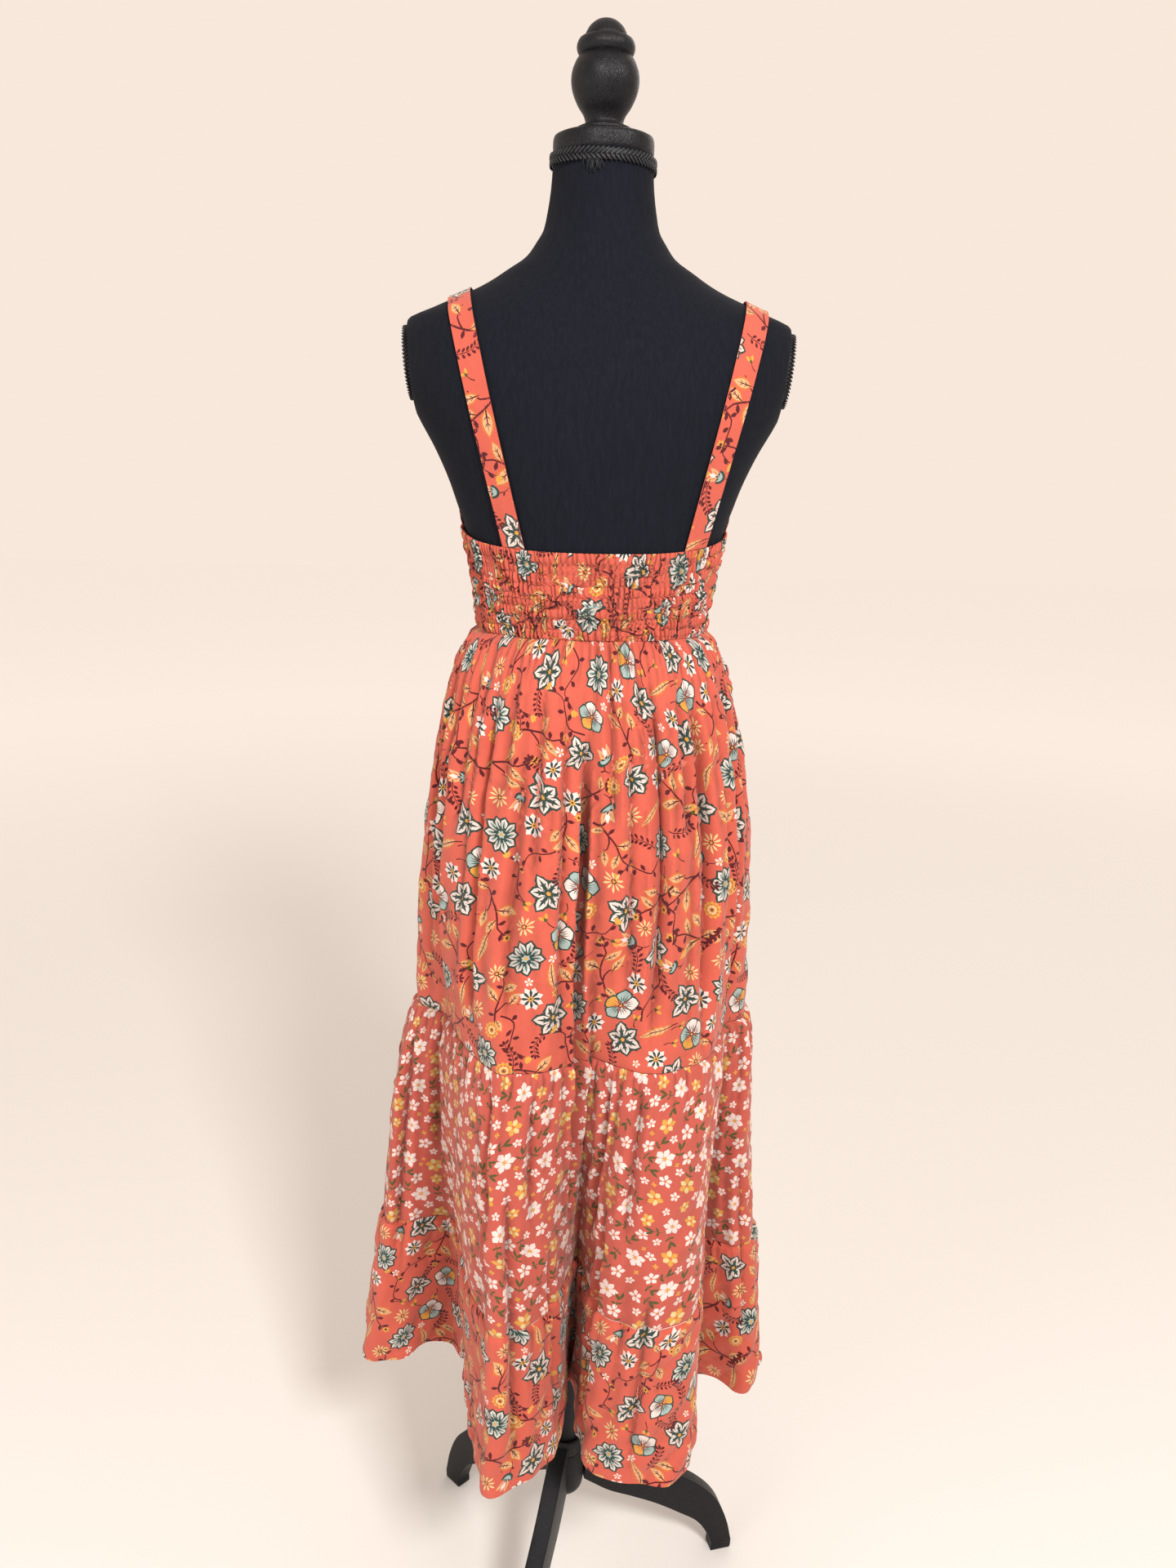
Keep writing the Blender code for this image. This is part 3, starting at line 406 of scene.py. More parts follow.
def gathers(seed, count, most, longest):
    """Small ridges that stand out under a seam: share, height, length down the cloth and half width."""
    rng = np.random.default_rng(seed)
    step = rng.uniform(0.55, 1.45, count)
    place = (np.cumsum(step) - step / 2) / step.sum()
    rise = most * rng.uniform(0.35, 1.0, count)
    reach = longest * rng.uniform(0.18, 1.0, count) ** 1.4
    return [(p, r, l, w / count) for p, r, l, w in zip(place, rise, reach, rng.uniform(0.44, 0.68, count))]


# Each tier's top and foot, then its gathers: how many, the highest and the longest
TIERS = {
    "upper": (WAIST, MIDDLE, 50, 0.0062, 0.190),
    "middle": (MIDDLE, LOWER, 50, 0.0050, 0.140),
    "lower": (LOWER, HEM, 50, 0.0046, 0.120),
}
# A second round of gathers, twice as many, is lower and short
SMALL_GATHER_SHARE, SMALL_GATHER_LENGTH = 0.40, 0.045
WRINKLE, FINE_WRINKLE = 0.0012, 0.00026
SEAM_DIP, SEAM_DIP_HALF = 0.0015, 0.0028
SIDE_DIP, SIDE_DIP_HALF = 0.0009, 0.0022
# The hem: depth of its turned-up fold, the fold's step, and how far the edge ripples and wavers
HEM_FOLD, HEM_STEP, HEM_STEP_HALF = 0.0085, 0.0005, 0.0004
HEM_RIPPLE, HEM_RIPPLE_HEIGHT, HEM_WAVER = 0.0030, 0.075, 0.0034


def skirt_panel(tier, start, width, rows, columns, seed):
    top, bottom, count, most, longest = TIERS[tier]
    high, low = top - GAP, bottom + (GAP if bottom > HEM else 0.0)
    small = gathers(seed + 3, 2 * count, SMALL_GATHER_SHARE * most, SMALL_GATHER_LENGTH)
    rounds = gathers(seed, count, most, longest), small
    ripple = soft_noise(seed + 170, 6, 0.030, 0.075, 0.35)
    wrinkles = soft_noise(seed + 50, 9, 0.028, 0.085, 0.5)
    fine = soft_noise(seed + 90, 7, 0.012, 0.026, 0.9)
    waver = soft_noise(seed + 130, 4, 0.10, 0.30, 0.1)
    first = int(start) * DENSE
    share = DENSE_SHARE[first : first + DENSE + 1]
    inside = SIDE_MARGIN + (share - start) * (1 - 2 * SIDE_MARGIN)
    places = []
    for down in np.linspace(0.0, 1.0, rows):
        height = high - (high - low) * down
        ring = skirt_ring(height)
        length = lengths(ring[first : first + DENSE + 1])
        whole = length[-1]
        normal = outward(ring)[first : first + DENSE + 1]
        ring = ring[first : first + DENSE + 1]
        off = high - height
        rise = np.zeros(len(ring))
        for ridges in rounds:
            highest = np.zeros(len(ring))
            for place, lift, reach, half in ridges:
                wide = half * (1 + off / 0.11)
                bump = lift * math.exp(-((off / reach) ** 1.5)) * (1 - ((inside - place) / wide) ** 2)
                highest = np.maximum(highest, bump)
            rise += highest
        rise *= 0.10 + 0.90 * min(1.0, off / 0.0055) ** 0.7
        rise -= creases(share, height, whole)
        calm = min(1.0, off / 0.03, (height - low) / 0.025 if bottom > HEM else 1.0)
        rise += calm * (WRINKLE * wrinkles(length, height) + FINE_WRINKLE * fine(length, height))
        for seam in (top, bottom) if bottom > HEM else (top,):
            rise -= SEAM_DIP * math.exp(-(((height - seam) / SEAM_DIP_HALF) ** 2))
        side = np.minimum(inside, 1 - inside) * whole
        rise -= SIDE_DIP * np.exp(-((side / SIDE_DIP_HALF) ** 2))
        if bottom == HEM:
            up = height - HEM
            rise += HEM_STEP / (1 + math.exp((up - HEM_FOLD) / HEM_STEP_HALF))
            rise += HEM_RIPPLE * math.exp(-((up / HEM_RIPPLE_HEIGHT) ** 2)) * ripple(length, height)
        line = ring + normal * rise[:, None]
        level = np.full(len(line), height)
        if bottom == HEM:
            level += HEM_WAVER * down**2 * waver(length, 0.0)
        line = np.column_stack([line, level])
        places.append(even(line, columns))
    places = np.array(places) + AXIS
    return Panel(width, high - low, places)


def on_form(height, share, off):
    points, normal = form_section(height, share)
    return points + normal * np.asarray(off)[:, None]


# The shirring: length that it hangs at, distance between its gathers, their height, the tunnels' own swell
# and how far all of it is sunk, then the same three for the casing at the top
SHIRR_LENGTH, SHIRR_PITCH = 0.345, 0.0043
SHIRR_RIDGE, SHIRR_PUFF, SHIRR_SUNK = 0.0054, 0.0005, 0.0017
CASING_RIDGE, CASING_PUFF, CASING_SUNK = 0.0030, 0.0013, 0.0012


def shirred_panel(width, rows, columns):
    """The elasticated back: puffed tunnels between rows of elastic, crossed by fine gathers."""
    rng = np.random.default_rng(7)
    count = 1500
    share = np.linspace(SIDE_MARGIN, 1 - SIDE_MARGIN, count)
    low = WAIST + GAP
    along = np.linspace(0.0, SHIRR_LENGTH, count)
    base = math.tau * along / SHIRR_PITCH + 1.1 * np.sin(along * 61 + 1.0) + 0.8 * np.sin(along * 137 + 2.0)
    wander = []
    for _ in range(TUNNELS + 1):
        turn = rng.uniform(0, math.tau, 4)
        wander.append(sum(0.85 * np.sin(along * k + t) for k, t in zip((190.0, 310.0, 455.0, 620.0), turn)))
    jag = [np.zeros(count)]
    for _ in range(TUNNELS - 1):
        turn = rng.uniform(0, math.tau, 4)
        jag.append(sum(0.00042 * np.sin(along * k + t) for k, t in zip((230.0, 610.0, 1130.0, 1490.0), turn)))
    jag.append(np.zeros(count))
    size = [0.62 + 0.38 * np.sin(along * rng.uniform(70, 160) + rng.uniform(0, 6)) for _ in range(TUNNELS)]
    places = []
    for down in np.linspace(0.0, 1.0, rows):
        up = (1 - down) * TUNNELS
        tunnel = min(int(up), TUNNELS - 1)
        t = up - tunnel
        puff = math.sin(math.pi * t) ** 0.65
        phase = base + wander[tunnel] * (1 - t) + wander[tunnel + 1] * t + 0.9 * (t - 0.5)
        ridge = np.abs(np.cos(phase / 2)) ** 0.75
        strength = size[tunnel] * (0.74 + 0.26 * puff)
        rise = SHIRR_PUFF * puff + SHIRR_RIDGE * ridge * strength - SHIRR_SUNK
        if tunnel == TUNNELS - 1:
            rise = CASING_PUFF * puff + CASING_RIDGE * ridge * (0.5 + 0.5 * size[tunnel]) - CASING_SUNK
        side = np.minimum(share, 1 - share) * SHIRR_LENGTH
        rise -= 0.0012 * np.exp(-((side / 0.003) ** 2))
        high = back_top(share) + 0.0005 * (ridge - 0.5)
        height = low + (high - low) * (1 - down) + jag[tunnel] * (1 - t) + jag[tunnel + 1] * t
        middle = low + (BACK_TOP_MIDDLE + 0.004 - low) * (1 - down)
        ring = on_form(middle, share, BODY_CLEARANCE + WALL + rise)
        edge = on_form(middle + 0.008, share, BODY_CLEARANCE + WALL + rise)
        mix = ((height - middle) / 0.008)[:, None]
        places.append(even(np.column_stack([ring * (1 - mix) + edge * mix, height]), columns))
    return Panel(width, back_top(0.5) + 0.003 - low, np.array(places) + AXIS)


def front_panel(width, rows, columns):
    """The plain front bodice's surface, up to the height of its points; its outline cuts it out."""
    share = 1 + np.linspace(SIDE_MARGIN, 1 - SIDE_MARGIN, 1200)
    low, high = WAIST + GAP, max(row[1] for row in FRONT_EDGE)
    wrinkles = soft_noise(11, 8, 0.03, 0.09, 0.7)
    rng = np.random.default_rng(5)
    drawn = [(p, rng.uniform(0.0008, 0.0016), rng.uniform(0.03, 0.07)) for p in np.linspace(1.06, 1.94, 23)]
    places = []
    for down in np.linspace(0.0, 1.0, rows):
        height = high - (high - low) * down
        rise = 0.0006 * wrinkles(share * 0.35, height) + 0.0004
        for place, lift, reach in drawn:
            rise = rise + lift * math.exp(-(((height - low) / reach) ** 1.4)) * np.exp(
                -(((share - place) / (0.008 + 0.05 * (height - low))) ** 2)
            )
        edge = front_top(share) - height
        rise = rise + 0.0006 / (1 + np.exp((edge - 0.0075) / 0.0005))
        rise = np.where(edge < 0, 0.0010, rise)
        side = np.minimum(share - 1, 2 - share) * 0.36
        rise = rise - 0.0010 * np.exp(-((side / 0.0028) ** 2))
        ring = on_form(height, share, BODY_CLEARANCE + WALL + rise)
        places.append(np.column_stack([ring, np.full(len(ring), height)]))
    places = np.array(places)
    picked = np.linspace(0, places.shape[1] - 1, columns).astype(int)
    return Panel(width, high - low, places[:, picked] + AXIS), share[picked]


def hull(points):
    order = sorted(range(len(points)), key=lambda i: tuple(points[i]))

    def half(indices):
        chain = []
        for i in indices:
            while len(chain) > 1:
                a, b, c = points[chain[-2]], points[chain[-1]], points[i]
                if (b[0] - a[0]) * (c[1] - a[1]) - (b[1] - a[1]) * (c[0] - a[0]) > 0:
                    break
                chain.pop()
            chain.append(i)
        return chain[:-1]

    return half(order) + half(reversed(order))


def strap_line(back_x, shoulder_x, front_x, back_z, front_z, count):
    """A line drawn taut over the form, up the back, over the shoulder and down the front."""
    heights = np.linspace(1.48, 1.60, 400)
    halves = monotone(FORM, "half", FORM_COLUMNS, heights)
    ridge = float(np.interp(-abs(shoulder_x), -halves, heights))
    line = []
    for foot_x, foot_z, depth, sign in ((back_x, back_z, "back", -1), (front_x, front_z, "front", 1)):
        z = foot_z + (ridge - foot_z) * np.sqrt(np.linspace(0.0, 1.0, 400))
        x = foot_x + (shoulder_x - foot_x) * (z - foot_z) / (ridge - foot_z)
        half = monotone(FORM, "half", FORM_COLUMNS, z)
        square = monotone(FORM, "square", FORM_COLUMNS, z)
        reach = monotone(FORM, depth, FORM_COLUMNS, z)
        inside = np.clip(1 - (np.abs(x) / half) ** square, 0.0, 1.0)
        side = np.stack([x, sign * reach * inside ** (1 / square), z], axis=1)
        line.append(side if sign < 0 else side[::-1][1:])
    line = np.concatenate(line)
    ring = hull(line[:, 1:])
    start = ring.index(0)
    ring = ring[start:] + ring[:start]
    kept = [0, *sorted(set(ring[1:]) - {len(line) - 1}), len(line) - 1]
    return even(line[kept], count)


def strap_panel(back_x, shoulder_x, front_x):
    across = 13
    share = np.linspace(0.0, 1.0, 400)
    ring, _ = form_section(BACK_TOP_MIDDLE, share)
    columns = []
    for j in range(across):
        off = STRAP_WIDTH / 2 * (2 * j / (across - 1) - 1)
        foot = float(back_top(np.interp(back_x + off, ring[:, 0], share))) + 0.0003
        columns.append(strap_line(back_x + off, shoulder_x + off, front_x + off, foot, FRONT_STRAP_FOOT, 260))
    grid = np.array(columns).transpose(1, 0, 2)
    reach = 6
    kernel = np.exp(-np.linspace(-2, 2, 2 * reach + 1) ** 2)
    kernel /= kernel.sum()
    padded = np.pad(grid, ((reach, reach), (0, 0), (0, 0)), mode="reflect", reflect_type="odd")
    grid = sum(weight * padded[k : k + len(grid)] for k, weight in enumerate(kernel))
    up = np.gradient(grid, axis=0)
    side = np.gradient(grid, axis=1)
    normal = np.cross(side, up)
    normal /= np.linalg.norm(normal, axis=2)[:, :, None]
    normal[[0, -1], :, 2] = 0.0
    edge = np.linspace(-1, 1, across)
    lift = STRAP_CLEARANCE + WALL - 0.0002 + 0.0003 * np.exp(-(((1 - np.abs(edge)) / 0.22) ** 2))
    grid = grid + normal * lift[None, :, None]
    length = lengths(grid[:, across // 2])[-1]
    return Panel(STRAP_WIDTH, length, grid[::-1] + AXIS)


# Print: motifs as layers of flat polygons, in units of their own radius


INK = {
    "coral": (221, 100, 80),
    "rose": (206, 94, 79),
    "white": (250, 230, 222),
    "yellow": (232, 168, 72),
    "orange": (220, 118, 58),
    "peach": (238, 182, 130),
    "cream": (234, 212, 146),
    "teal": (46, 68, 62),
    "blue": (172, 192, 186),
    "ash": (240, 222, 212),
    "wine": (92, 14, 24),
    "olive": (92, 86, 44),
}
INKS = list(INK)


def linear(colour):
    c = np.asarray(colour, float) / 255
    return np.where(c <= 0.04045, c / 12.92, ((c + 0.055) / 1.055) ** 2.4)


# The inks' albedo is this share of their colour, because the studio is bright
ALBEDO = 0.58
PALETTE = ALBEDO * np.array([linear(INK[name]) for name in INKS])
# The cloth's wrong side is its ground mixed with some of a paler colour
PALE, PALE_SHARE = (236, 150, 130), 0.38
# Painted shade in the folds, put into the print's colours: distance that the cloth about a place is averaged
# over, depth that is darkest, and how much darker the colour is painted there
SKIRT_SHADE, SHIRR_SHADE = (0.007, 0.0013, 0.52), (0.0030, 0.0010, 0.66)


def turned_by(shape, degrees, scale=1.0, shift=(0.0, 0.0)):
    a = math.radians(degrees)
    c, s = math.cos(a), math.sin(a)
    return [(ink, (points @ np.array([[c, s], [-s, c]])) * scale + np.array(shift)) for ink, points in shape]


def star(ink, teeth, outer, inner, turn=0.0):
    """A ring of teeth, round where the two radii are close."""
    angle = math.radians(turn) + np.arange(2 * teeth) * math.pi / teeth
    radius = np.where(np.arange(2 * teeth) % 2 == 0, outer, inner)
    return (ink, np.stack([radius * np.cos(angle), radius * np.sin(angle)], axis=1))


def petal(ink, base, tip, width, turn=0.0, fat=0.55, steps=4, teeth=0.0):
    """A leaf or petal along the x axis, widest at the share fat of its length, and toothed if asked."""
    t = np.linspace(0.0, 1.0, steps + 1)
    x = base + (tip - base) * t
    side = np.sin(math.pi * t ** (math.log(0.5) / math.log(fat))) * width / 2
    if teeth:
        side[1:-1] *= 1 + teeth * (np.arange(steps - 1) % 2 * 2 - 1)
    points = np.concatenate([np.stack([x, -side], 1)[:-1], np.stack([x, side], 1)[:0:-1]])
    a = math.radians(turn)
    return (ink, points @ np.array([[math.cos(a), math.sin(a)], [-math.sin(a), math.cos(a)]]))


def stem(ink, points, width, steps=3):
    line = catmull(np.asarray(points, float), steps, closed=False)
    along = np.gradient(line, axis=0)
    along /= np.linalg.norm(along, axis=1)[:, None]
    side = np.stack([-along[:, 1], along[:, 0]], 1)
    taper = np.linspace(1.0, 0.55, len(line))[:, None] * width / 2
    return (ink, np.concatenate([line + side * taper, (line - side * taper)[::-1]]))


def rosette():
    shape = []
    for k in range(10):
        r = (1.0, 0.90, 0.96)[k % 3]
        whole = [
            petal("teal", 0.05, r, 0.54, 0, 0.66, 6, 0.12),
            petal("ash", 0.12, r - 0.11, 0.34, 0, 0.66, 4),
            petal("blue", 0.15, r - 0.20, 0.20, 0, 0.6, 3),
            petal("teal", 0.2, r - 0.24, 0.07, 0, 0.6, 2),
        ]
        shape += turned_by(whole, 36 * k)
    shape += [star("teal", 10, 0.46, 0.26, 8), star("blue", 6, 0.22, 0.15), star("yellow", 5, 0.11, 0.08)]
    return shape


def starflower():
    shape = []
    reach = (1.0, 0.82, 0.95, 0.76, 0.91, 0.80)
    for k, r in enumerate(reach):
        shape.append(petal("teal", 0.02, r, 0.62, 60 * k, 0.50, 8, 0.12))
    for k, r in enumerate(reach):
        shape.append(petal("ash", 0.08, r - 0.10, 0.42, 60 * k, 0.52, 4))
        vein = [petal("teal", 0.0, r * 0.78, 0.17, 0, 0.3, 3)]
        for at, turn in ((0.34, 40), (0.34, -40)):
            vein += turned_by([petal("teal", 0.0, 0.22, 0.070, 0, 0.5, 2)], turn, 1.0, (at * r, 0.0))
        shape += turned_by(vein, 60 * k)
    shape += [star("teal", 6, 0.19, 0.14), star("yellow", 5, 0.11, 0.08)]
    return shape


def pansy():
    shape = []
    for turn, ink in ((54, "white"), (126, "white"), (-18, "blue"), (198, "blue"), (270, "yellow")):
        whole = [petal("teal", 0.0, 1.0, 0.98, 0, 0.66, 8, 0.05), petal(ink, 0.08, 0.91, 0.78, 0, 0.66, 6)]
        vein = "orange" if ink == "yellow" else "teal"
        whole += [petal(vein, 0.12, 0.66, 0.06, t, 0.5, 2) for t in (-16, 0, 16)]
        shape += turned_by(whole, turn)
    return shape + [star("wine", 5, 0.19, 0.12), star("yellow", 4, 0.09, 0.06)]


def double_daisy():
    shape = [petal("white", 0.12, 1.0, 0.48, 45 * k, 0.64, 3) for k in range(8)]
    shape += [petal("teal", 0.08, 0.82, 0.25, 45 * k + 22.5, 0.58, 3) for k in range(8)]
    shape += [star("yellow", 8, 0.29, 0.17), star("olive", 4, 0.11, 0.08)]
    return shape


def thin_daisy():
    shape = [petal("cream", 0.16, 1.0 if k % 2 else 0.86, 0.21, 36 * k, 0.62, 3) for k in range(10)]
    shape += [star("wine", 6, 0.25, 0.19), star("yellow", 5, 0.15, 0.11)]
    return shape


def marigold():
    shape = [star("yellow", 11, 1.0, 0.80), star("orange", 11, 0.76, 0.60, 16), star("cream", 9, 0.58, 0.44)]
    shape += [star("orange", 7, 0.34, 0.24, 10), star("olive", 5, 0.17, 0.12)]
    return shape


def bell():
    shape = [petal("peach", 0.0, 1.0, 0.38, t, 0.42, 5) for t in (-24, 24)]
    shape += [petal("white", 0.0, 0.88, 0.32, 0, 0.45, 5)]
    shape += [petal("orange", 0.1, 0.74, 0.055, t, 0.5, 2) for t in (-28, -20, 20, 28)]
    for scale, ink in ((1.0, "teal"), (0.66, "blue")):
        angle = np.linspace(math.pi / 2, 1.5 * math.pi, 9)
        shape.append((ink, np.stack([0.12 + 0.56 * scale * np.cos(angle), 0.46 * scale * np.sin(angle)], 1)))
    shape += [petal("teal", 0.05, 0.34, 0.14, t, 0.5, 3) for t in (-58, 0, 58)]
    shape.append(stem("wine", [(-0.42, 0), (-0.78, 0.08), (-1.15, 0.38)], 0.075, 3))
    return shape + turned_by([petal("wine", 0.0, 0.30, 0.13, 0, 0.5, 4)], -70, 1.0, (-0.80, 0.09))


def leaf(at, turn, size):
    whole = [petal("orange", 0.0, 1.0, 0.54, 0, 0.46, 6, 0.09), petal("peach", 0.06, 0.92, 0.38, 0, 0.46, 4)]
    whole.append(petal("wine", -0.14, 0.82, 0.065, 0, 0.3, 3))
    for place, turn_off in ((0.24, 40), (0.46, 36), (0.24, -40), (0.46, -36)):
        whole += turned_by([petal("wine", 0.0, 0.20, 0.040, 0, 0.5, 2)], turn_off, 1.0, (place, 0.0))
    return turned_by(whole, turn, size, at)


def leaflets(spots, base, tip, width):
    """Small dark leaves, each at a place and turn."""
    shape = []
    for x, y, turn in spots:
        shape += turned_by([petal("wine", base, tip, width, 0, 0.55, 3)], turn, 1.0, (x, y))
    return shape


def branch():
    shape = [stem("wine", [(-1.05, -0.34), (-0.45, -0.28), (0.10, 0.0), (0.55, 0.34), (1.0, 0.42)], 0.075, 2)]
    shape += [stem("wine", [(-0.30, -0.22), (-0.12, 0.18), (-0.24, 0.62)], 0.06, 2)]
    shape += leaf((-0.20, 0.26), 58, 0.66) + leaf((0.06, -0.02), -24, 0.80)
    shape += leaf((0.30, 0.18), 84, 0.64) + leaf((-0.52, -0.28), 156, 0.52)
    shape += turned_by([star("yellow", 6, 0.15, 0.09), star("wine", 4, 0.06, 0.04)], 0, 1.0, (1.02, 0.43))
    spots = ((-0.82, -0.32, -50), (-0.35, -0.24, -76), (0.44, 0.26, -48), (0.74, 0.38, 64), (0.80, 0.38, -40))
    return shape + leaflets(spots, 0.0, 0.28, 0.14)


def sprig():
    line = np.array([(-1.0, -0.16), (-0.34, 0.06), (0.30, 0.08), (0.86, -0.10)])
    shape = [stem("wine", line, 0.07)]
    path = catmull(line, 2, closed=False)
    for k in range(1, len(path)):
        ahead = path[min(k + 1, len(path) - 1)] - path[k - 1]
        way = math.degrees(math.atan2(ahead[1], ahead[0]))
        for side in (-54, 54):
            shape += turned_by([petal("wine", 0.05, 0.42, 0.20, 0, 0.56, 3)], way + side, 1.0, path[k])
    return shape + turned_by([petal("wine", 0.0, 0.38, 0.20, 0, 0.56, 3)], -20, 1.0, path[-1])


def frond():
    shape = [petal("orange", -0.72, 1.0, 0.48, 0, 0.45, 12, 0.20)]
    shape.append(petal("peach", -0.64, 0.92, 0.32, 0, 0.45, 6))
    shape.append(stem("wine", [(-1.0, -0.14), (-0.55, -0.03), (0.2, 0.0), (0.78, 0.0)], 0.060, 3))
    for at in (-0.40, -0.16, 0.08, 0.32):
        for turn in (-40, 40):
            shape += turned_by([petal("wine", 0.0, 0.22, 0.03, 0, 0.3, 2)], turn, 1.0, (at, 0.0))
    return shape


def vine():
    shape = [stem("wine", [(-1.0, 0.10), (-0.5, -0.20), (0.0, 0.05), (0.45, 0.30), (0.95, 0.05)], 0.065, 3)]
    spots = (
        (-0.62, -0.14, -100), (-0.30, -0.10, 70), (0.02, 0.06, -50), (0.30, 0.24, 100), (0.66, 0.26, -20),
    )
    flower = [petal("yellow", 0.0, 0.26, 0.16, t, 0.6, 3) for t in (-30, 0, 30)]
    return shape + leaflets(spots, 0.03, 0.32, 0.16) + turned_by(flower, -10, 1.0, (0.95, 0.05))


def bud():
    shape = [stem("wine", [(-1.1, 0.28), (-0.5, 0.0), (0.0, 0.0)], 0.14, 2)]
    shape += [petal("yellow", 0.0, 1.0, 0.42, t, 0.6, 3) for t in (-28, 28)]
    shape += [petal("orange", 0.0, 0.9, 0.30, 0, 0.6, 3), petal("olive", -0.1, 0.45, 0.44, 0, 0.4, 3)]
    return shape


def tiny():
    shape = [petal("white", 0.1, 1.0, 0.60, 72 * k, 0.64, 3) for k in range(5)]
    return shape + [star("yellow", 3, 0.3, 0.24)]


# The motifs of a repeat, with their radius and how many it holds
LARGE = (
    (rosette, 0.0190, 6), (starflower, 0.0215, 12), (branch, 0.0300, 14), (pansy, 0.0160, 7),
    (frond, 0.0190, 6), (vine, 0.0260, 10), (bell, 0.0155, 7), (double_daisy, 0.0112, 13),
    (thin_daisy, 0.0102, 10), (marigold, 0.0088, 7), (sprig, 0.0140, 17), (bud, 0.0085, 13),
    (tiny, 0.0045, 14),
)
# Room that a motif keeps, as a share of its size: less for the long ones, which others nest beside
ROOM = {"branch": 0.66, "vine": 0.52, "frond": 0.72, "sprig": 0.72, "starflower": 0.82, "bell": 0.76}
LARGE_TILE = 0.320


def blossom(inks, petals, middle):
    shape = []
    for k in range(petals):
        ink, reach = inks[k % len(inks)], 1.0 - 0.12 * (k % 2)
        shape.append(petal(ink, 0.08, reach, 0.60, 360 / petals * k, 0.58, 3))
    return shape + [star(middle, 3, 0.20, 0.17)]


def white_six():
    return blossom(("white",), 6, "yellow")


def white_five():
    return blossom(("white",), 5, "orange")


def gold_five():
    return blossom(("yellow", "cream"), 6, "orange")


def speck():
    return [petal("yellow", 0.0, 1.0, 0.75, 90 * k, 0.6, 2) for k in range(4)]


def twig():
    shape = [petal("olive", -0.1, 1.0, 0.36, t, 0.55, 3) for t in (-36, 14)]
    shape += turned_by([petal("olive", 0.0, 0.60, 0.26, t, 0.5, 3) for t in (62, -70)], 0, 1.0, (-0.5, 0.0))
    return shape + [petal("olive", -1.0, 0.2, 0.12, 0, 0.5, 2)]


SMALL = (
    (white_six, 0.0110, 8), (gold_five, 0.0098, 5), (white_five, 0.0080, 13), (gold_five, 0.0070, 5),
    (white_five, 0.0052, 19), (twig, 0.0092, 19), (speck, 0.0030, 12),
)
SMALL_TILE = 0.143


def layout(kinds, tile, seed):
    """Spreads the motifs over a half-drop repeat, each in the emptiest of several places tried."""
    rng = np.random.default_rng(seed)
    steps = np.array([(i * tile, i * tile / 2 + j * tile) for i in (-1, 0, 1) for j in (-2, -1, 0, 1, 2)])
    spots, sizes, reaches, shapes = [], [], [], []
    for make, size, count in kinds:
        shape = make()
        room = ROOM.get(make.__name__, 1.0) * size
        for _ in range(count):
            tries = rng.uniform(0, tile, (140, 2))
            if spots:
                held = np.array(spots)
                apart = tries[:, None, None] - held[None, :, None] - steps[None, None]
                clear = np.linalg.norm(apart, axis=3).min(axis=2) - np.array(sizes)[None]
                best = tries[int(np.argmax(clear.min(axis=1)))]
            else:
                best = tries[0]
            grown = size * rng.uniform(0.90, 1.10)
            spots.append(best)
            sizes.append(room)
            reaches.append(1.3 * grown)
            shapes.append(turned_by(shape, rng.uniform(0, 360), grown, best))
    return list(zip(spots, reaches, shapes))


LARGE_PRINT = (layout(LARGE, LARGE_TILE, 21), LARGE_TILE, "coral")
SMALL_PRINT = (layout(SMALL, SMALL_TILE, 4), SMALL_TILE, "rose")


def laid_out(cloth, panel, start):
    """The print's polygons that reach a panel whose corner is at start in the bolt.

    They are drawn wider by the panel's slack, so that they keep their shape once the cloth is gathered.
    """
    motifs, tile, ground = cloth
    slack = panel.width / np.mean([lengths(row)[-1] for row in panel.places])
    width, height = panel.width / slack, panel.height
    found = []
    columns = range(int(math.floor(start[0] / tile)) - 1, int(math.ceil((start[0] + width) / tile)) + 1)
    for i in columns:
        drop = i * tile / 2
        first = int(math.floor((start[1] - drop) / tile)) - 1
        last = int(math.ceil((start[1] + height - drop) / tile)) + 1
        for j in range(first, last):
            shift = np.array([i * tile, drop + j * tile]) - np.asarray(start)
            for spot, size, shape in motifs:
                x, y = spot + shift
                if -size < x < width + size and -size < y < height + size:
                    found += [(INKS.index(ink), (points + shift) * (slack, 1.0)) for ink, points in shape]
    return found, INKS.index(ground)


def cut_plane(points, lines, faces):
    """A triangulation that keeps the given lines: its points, triangles and the faces that each is in."""
    flat = [Vector(point) for point in points]
    verts, _, triangles, _, _, origins = delaunay_2d_cdt(flat, lines, faces, 0, 1e-6, True)
    return [tuple(vert) for vert in verts], triangles, origins


def edges_of(triangles):
    return np.concatenate([triangles[:, [0, 1]], triangles[:, [1, 2]], triangles[:, [2, 0]]])


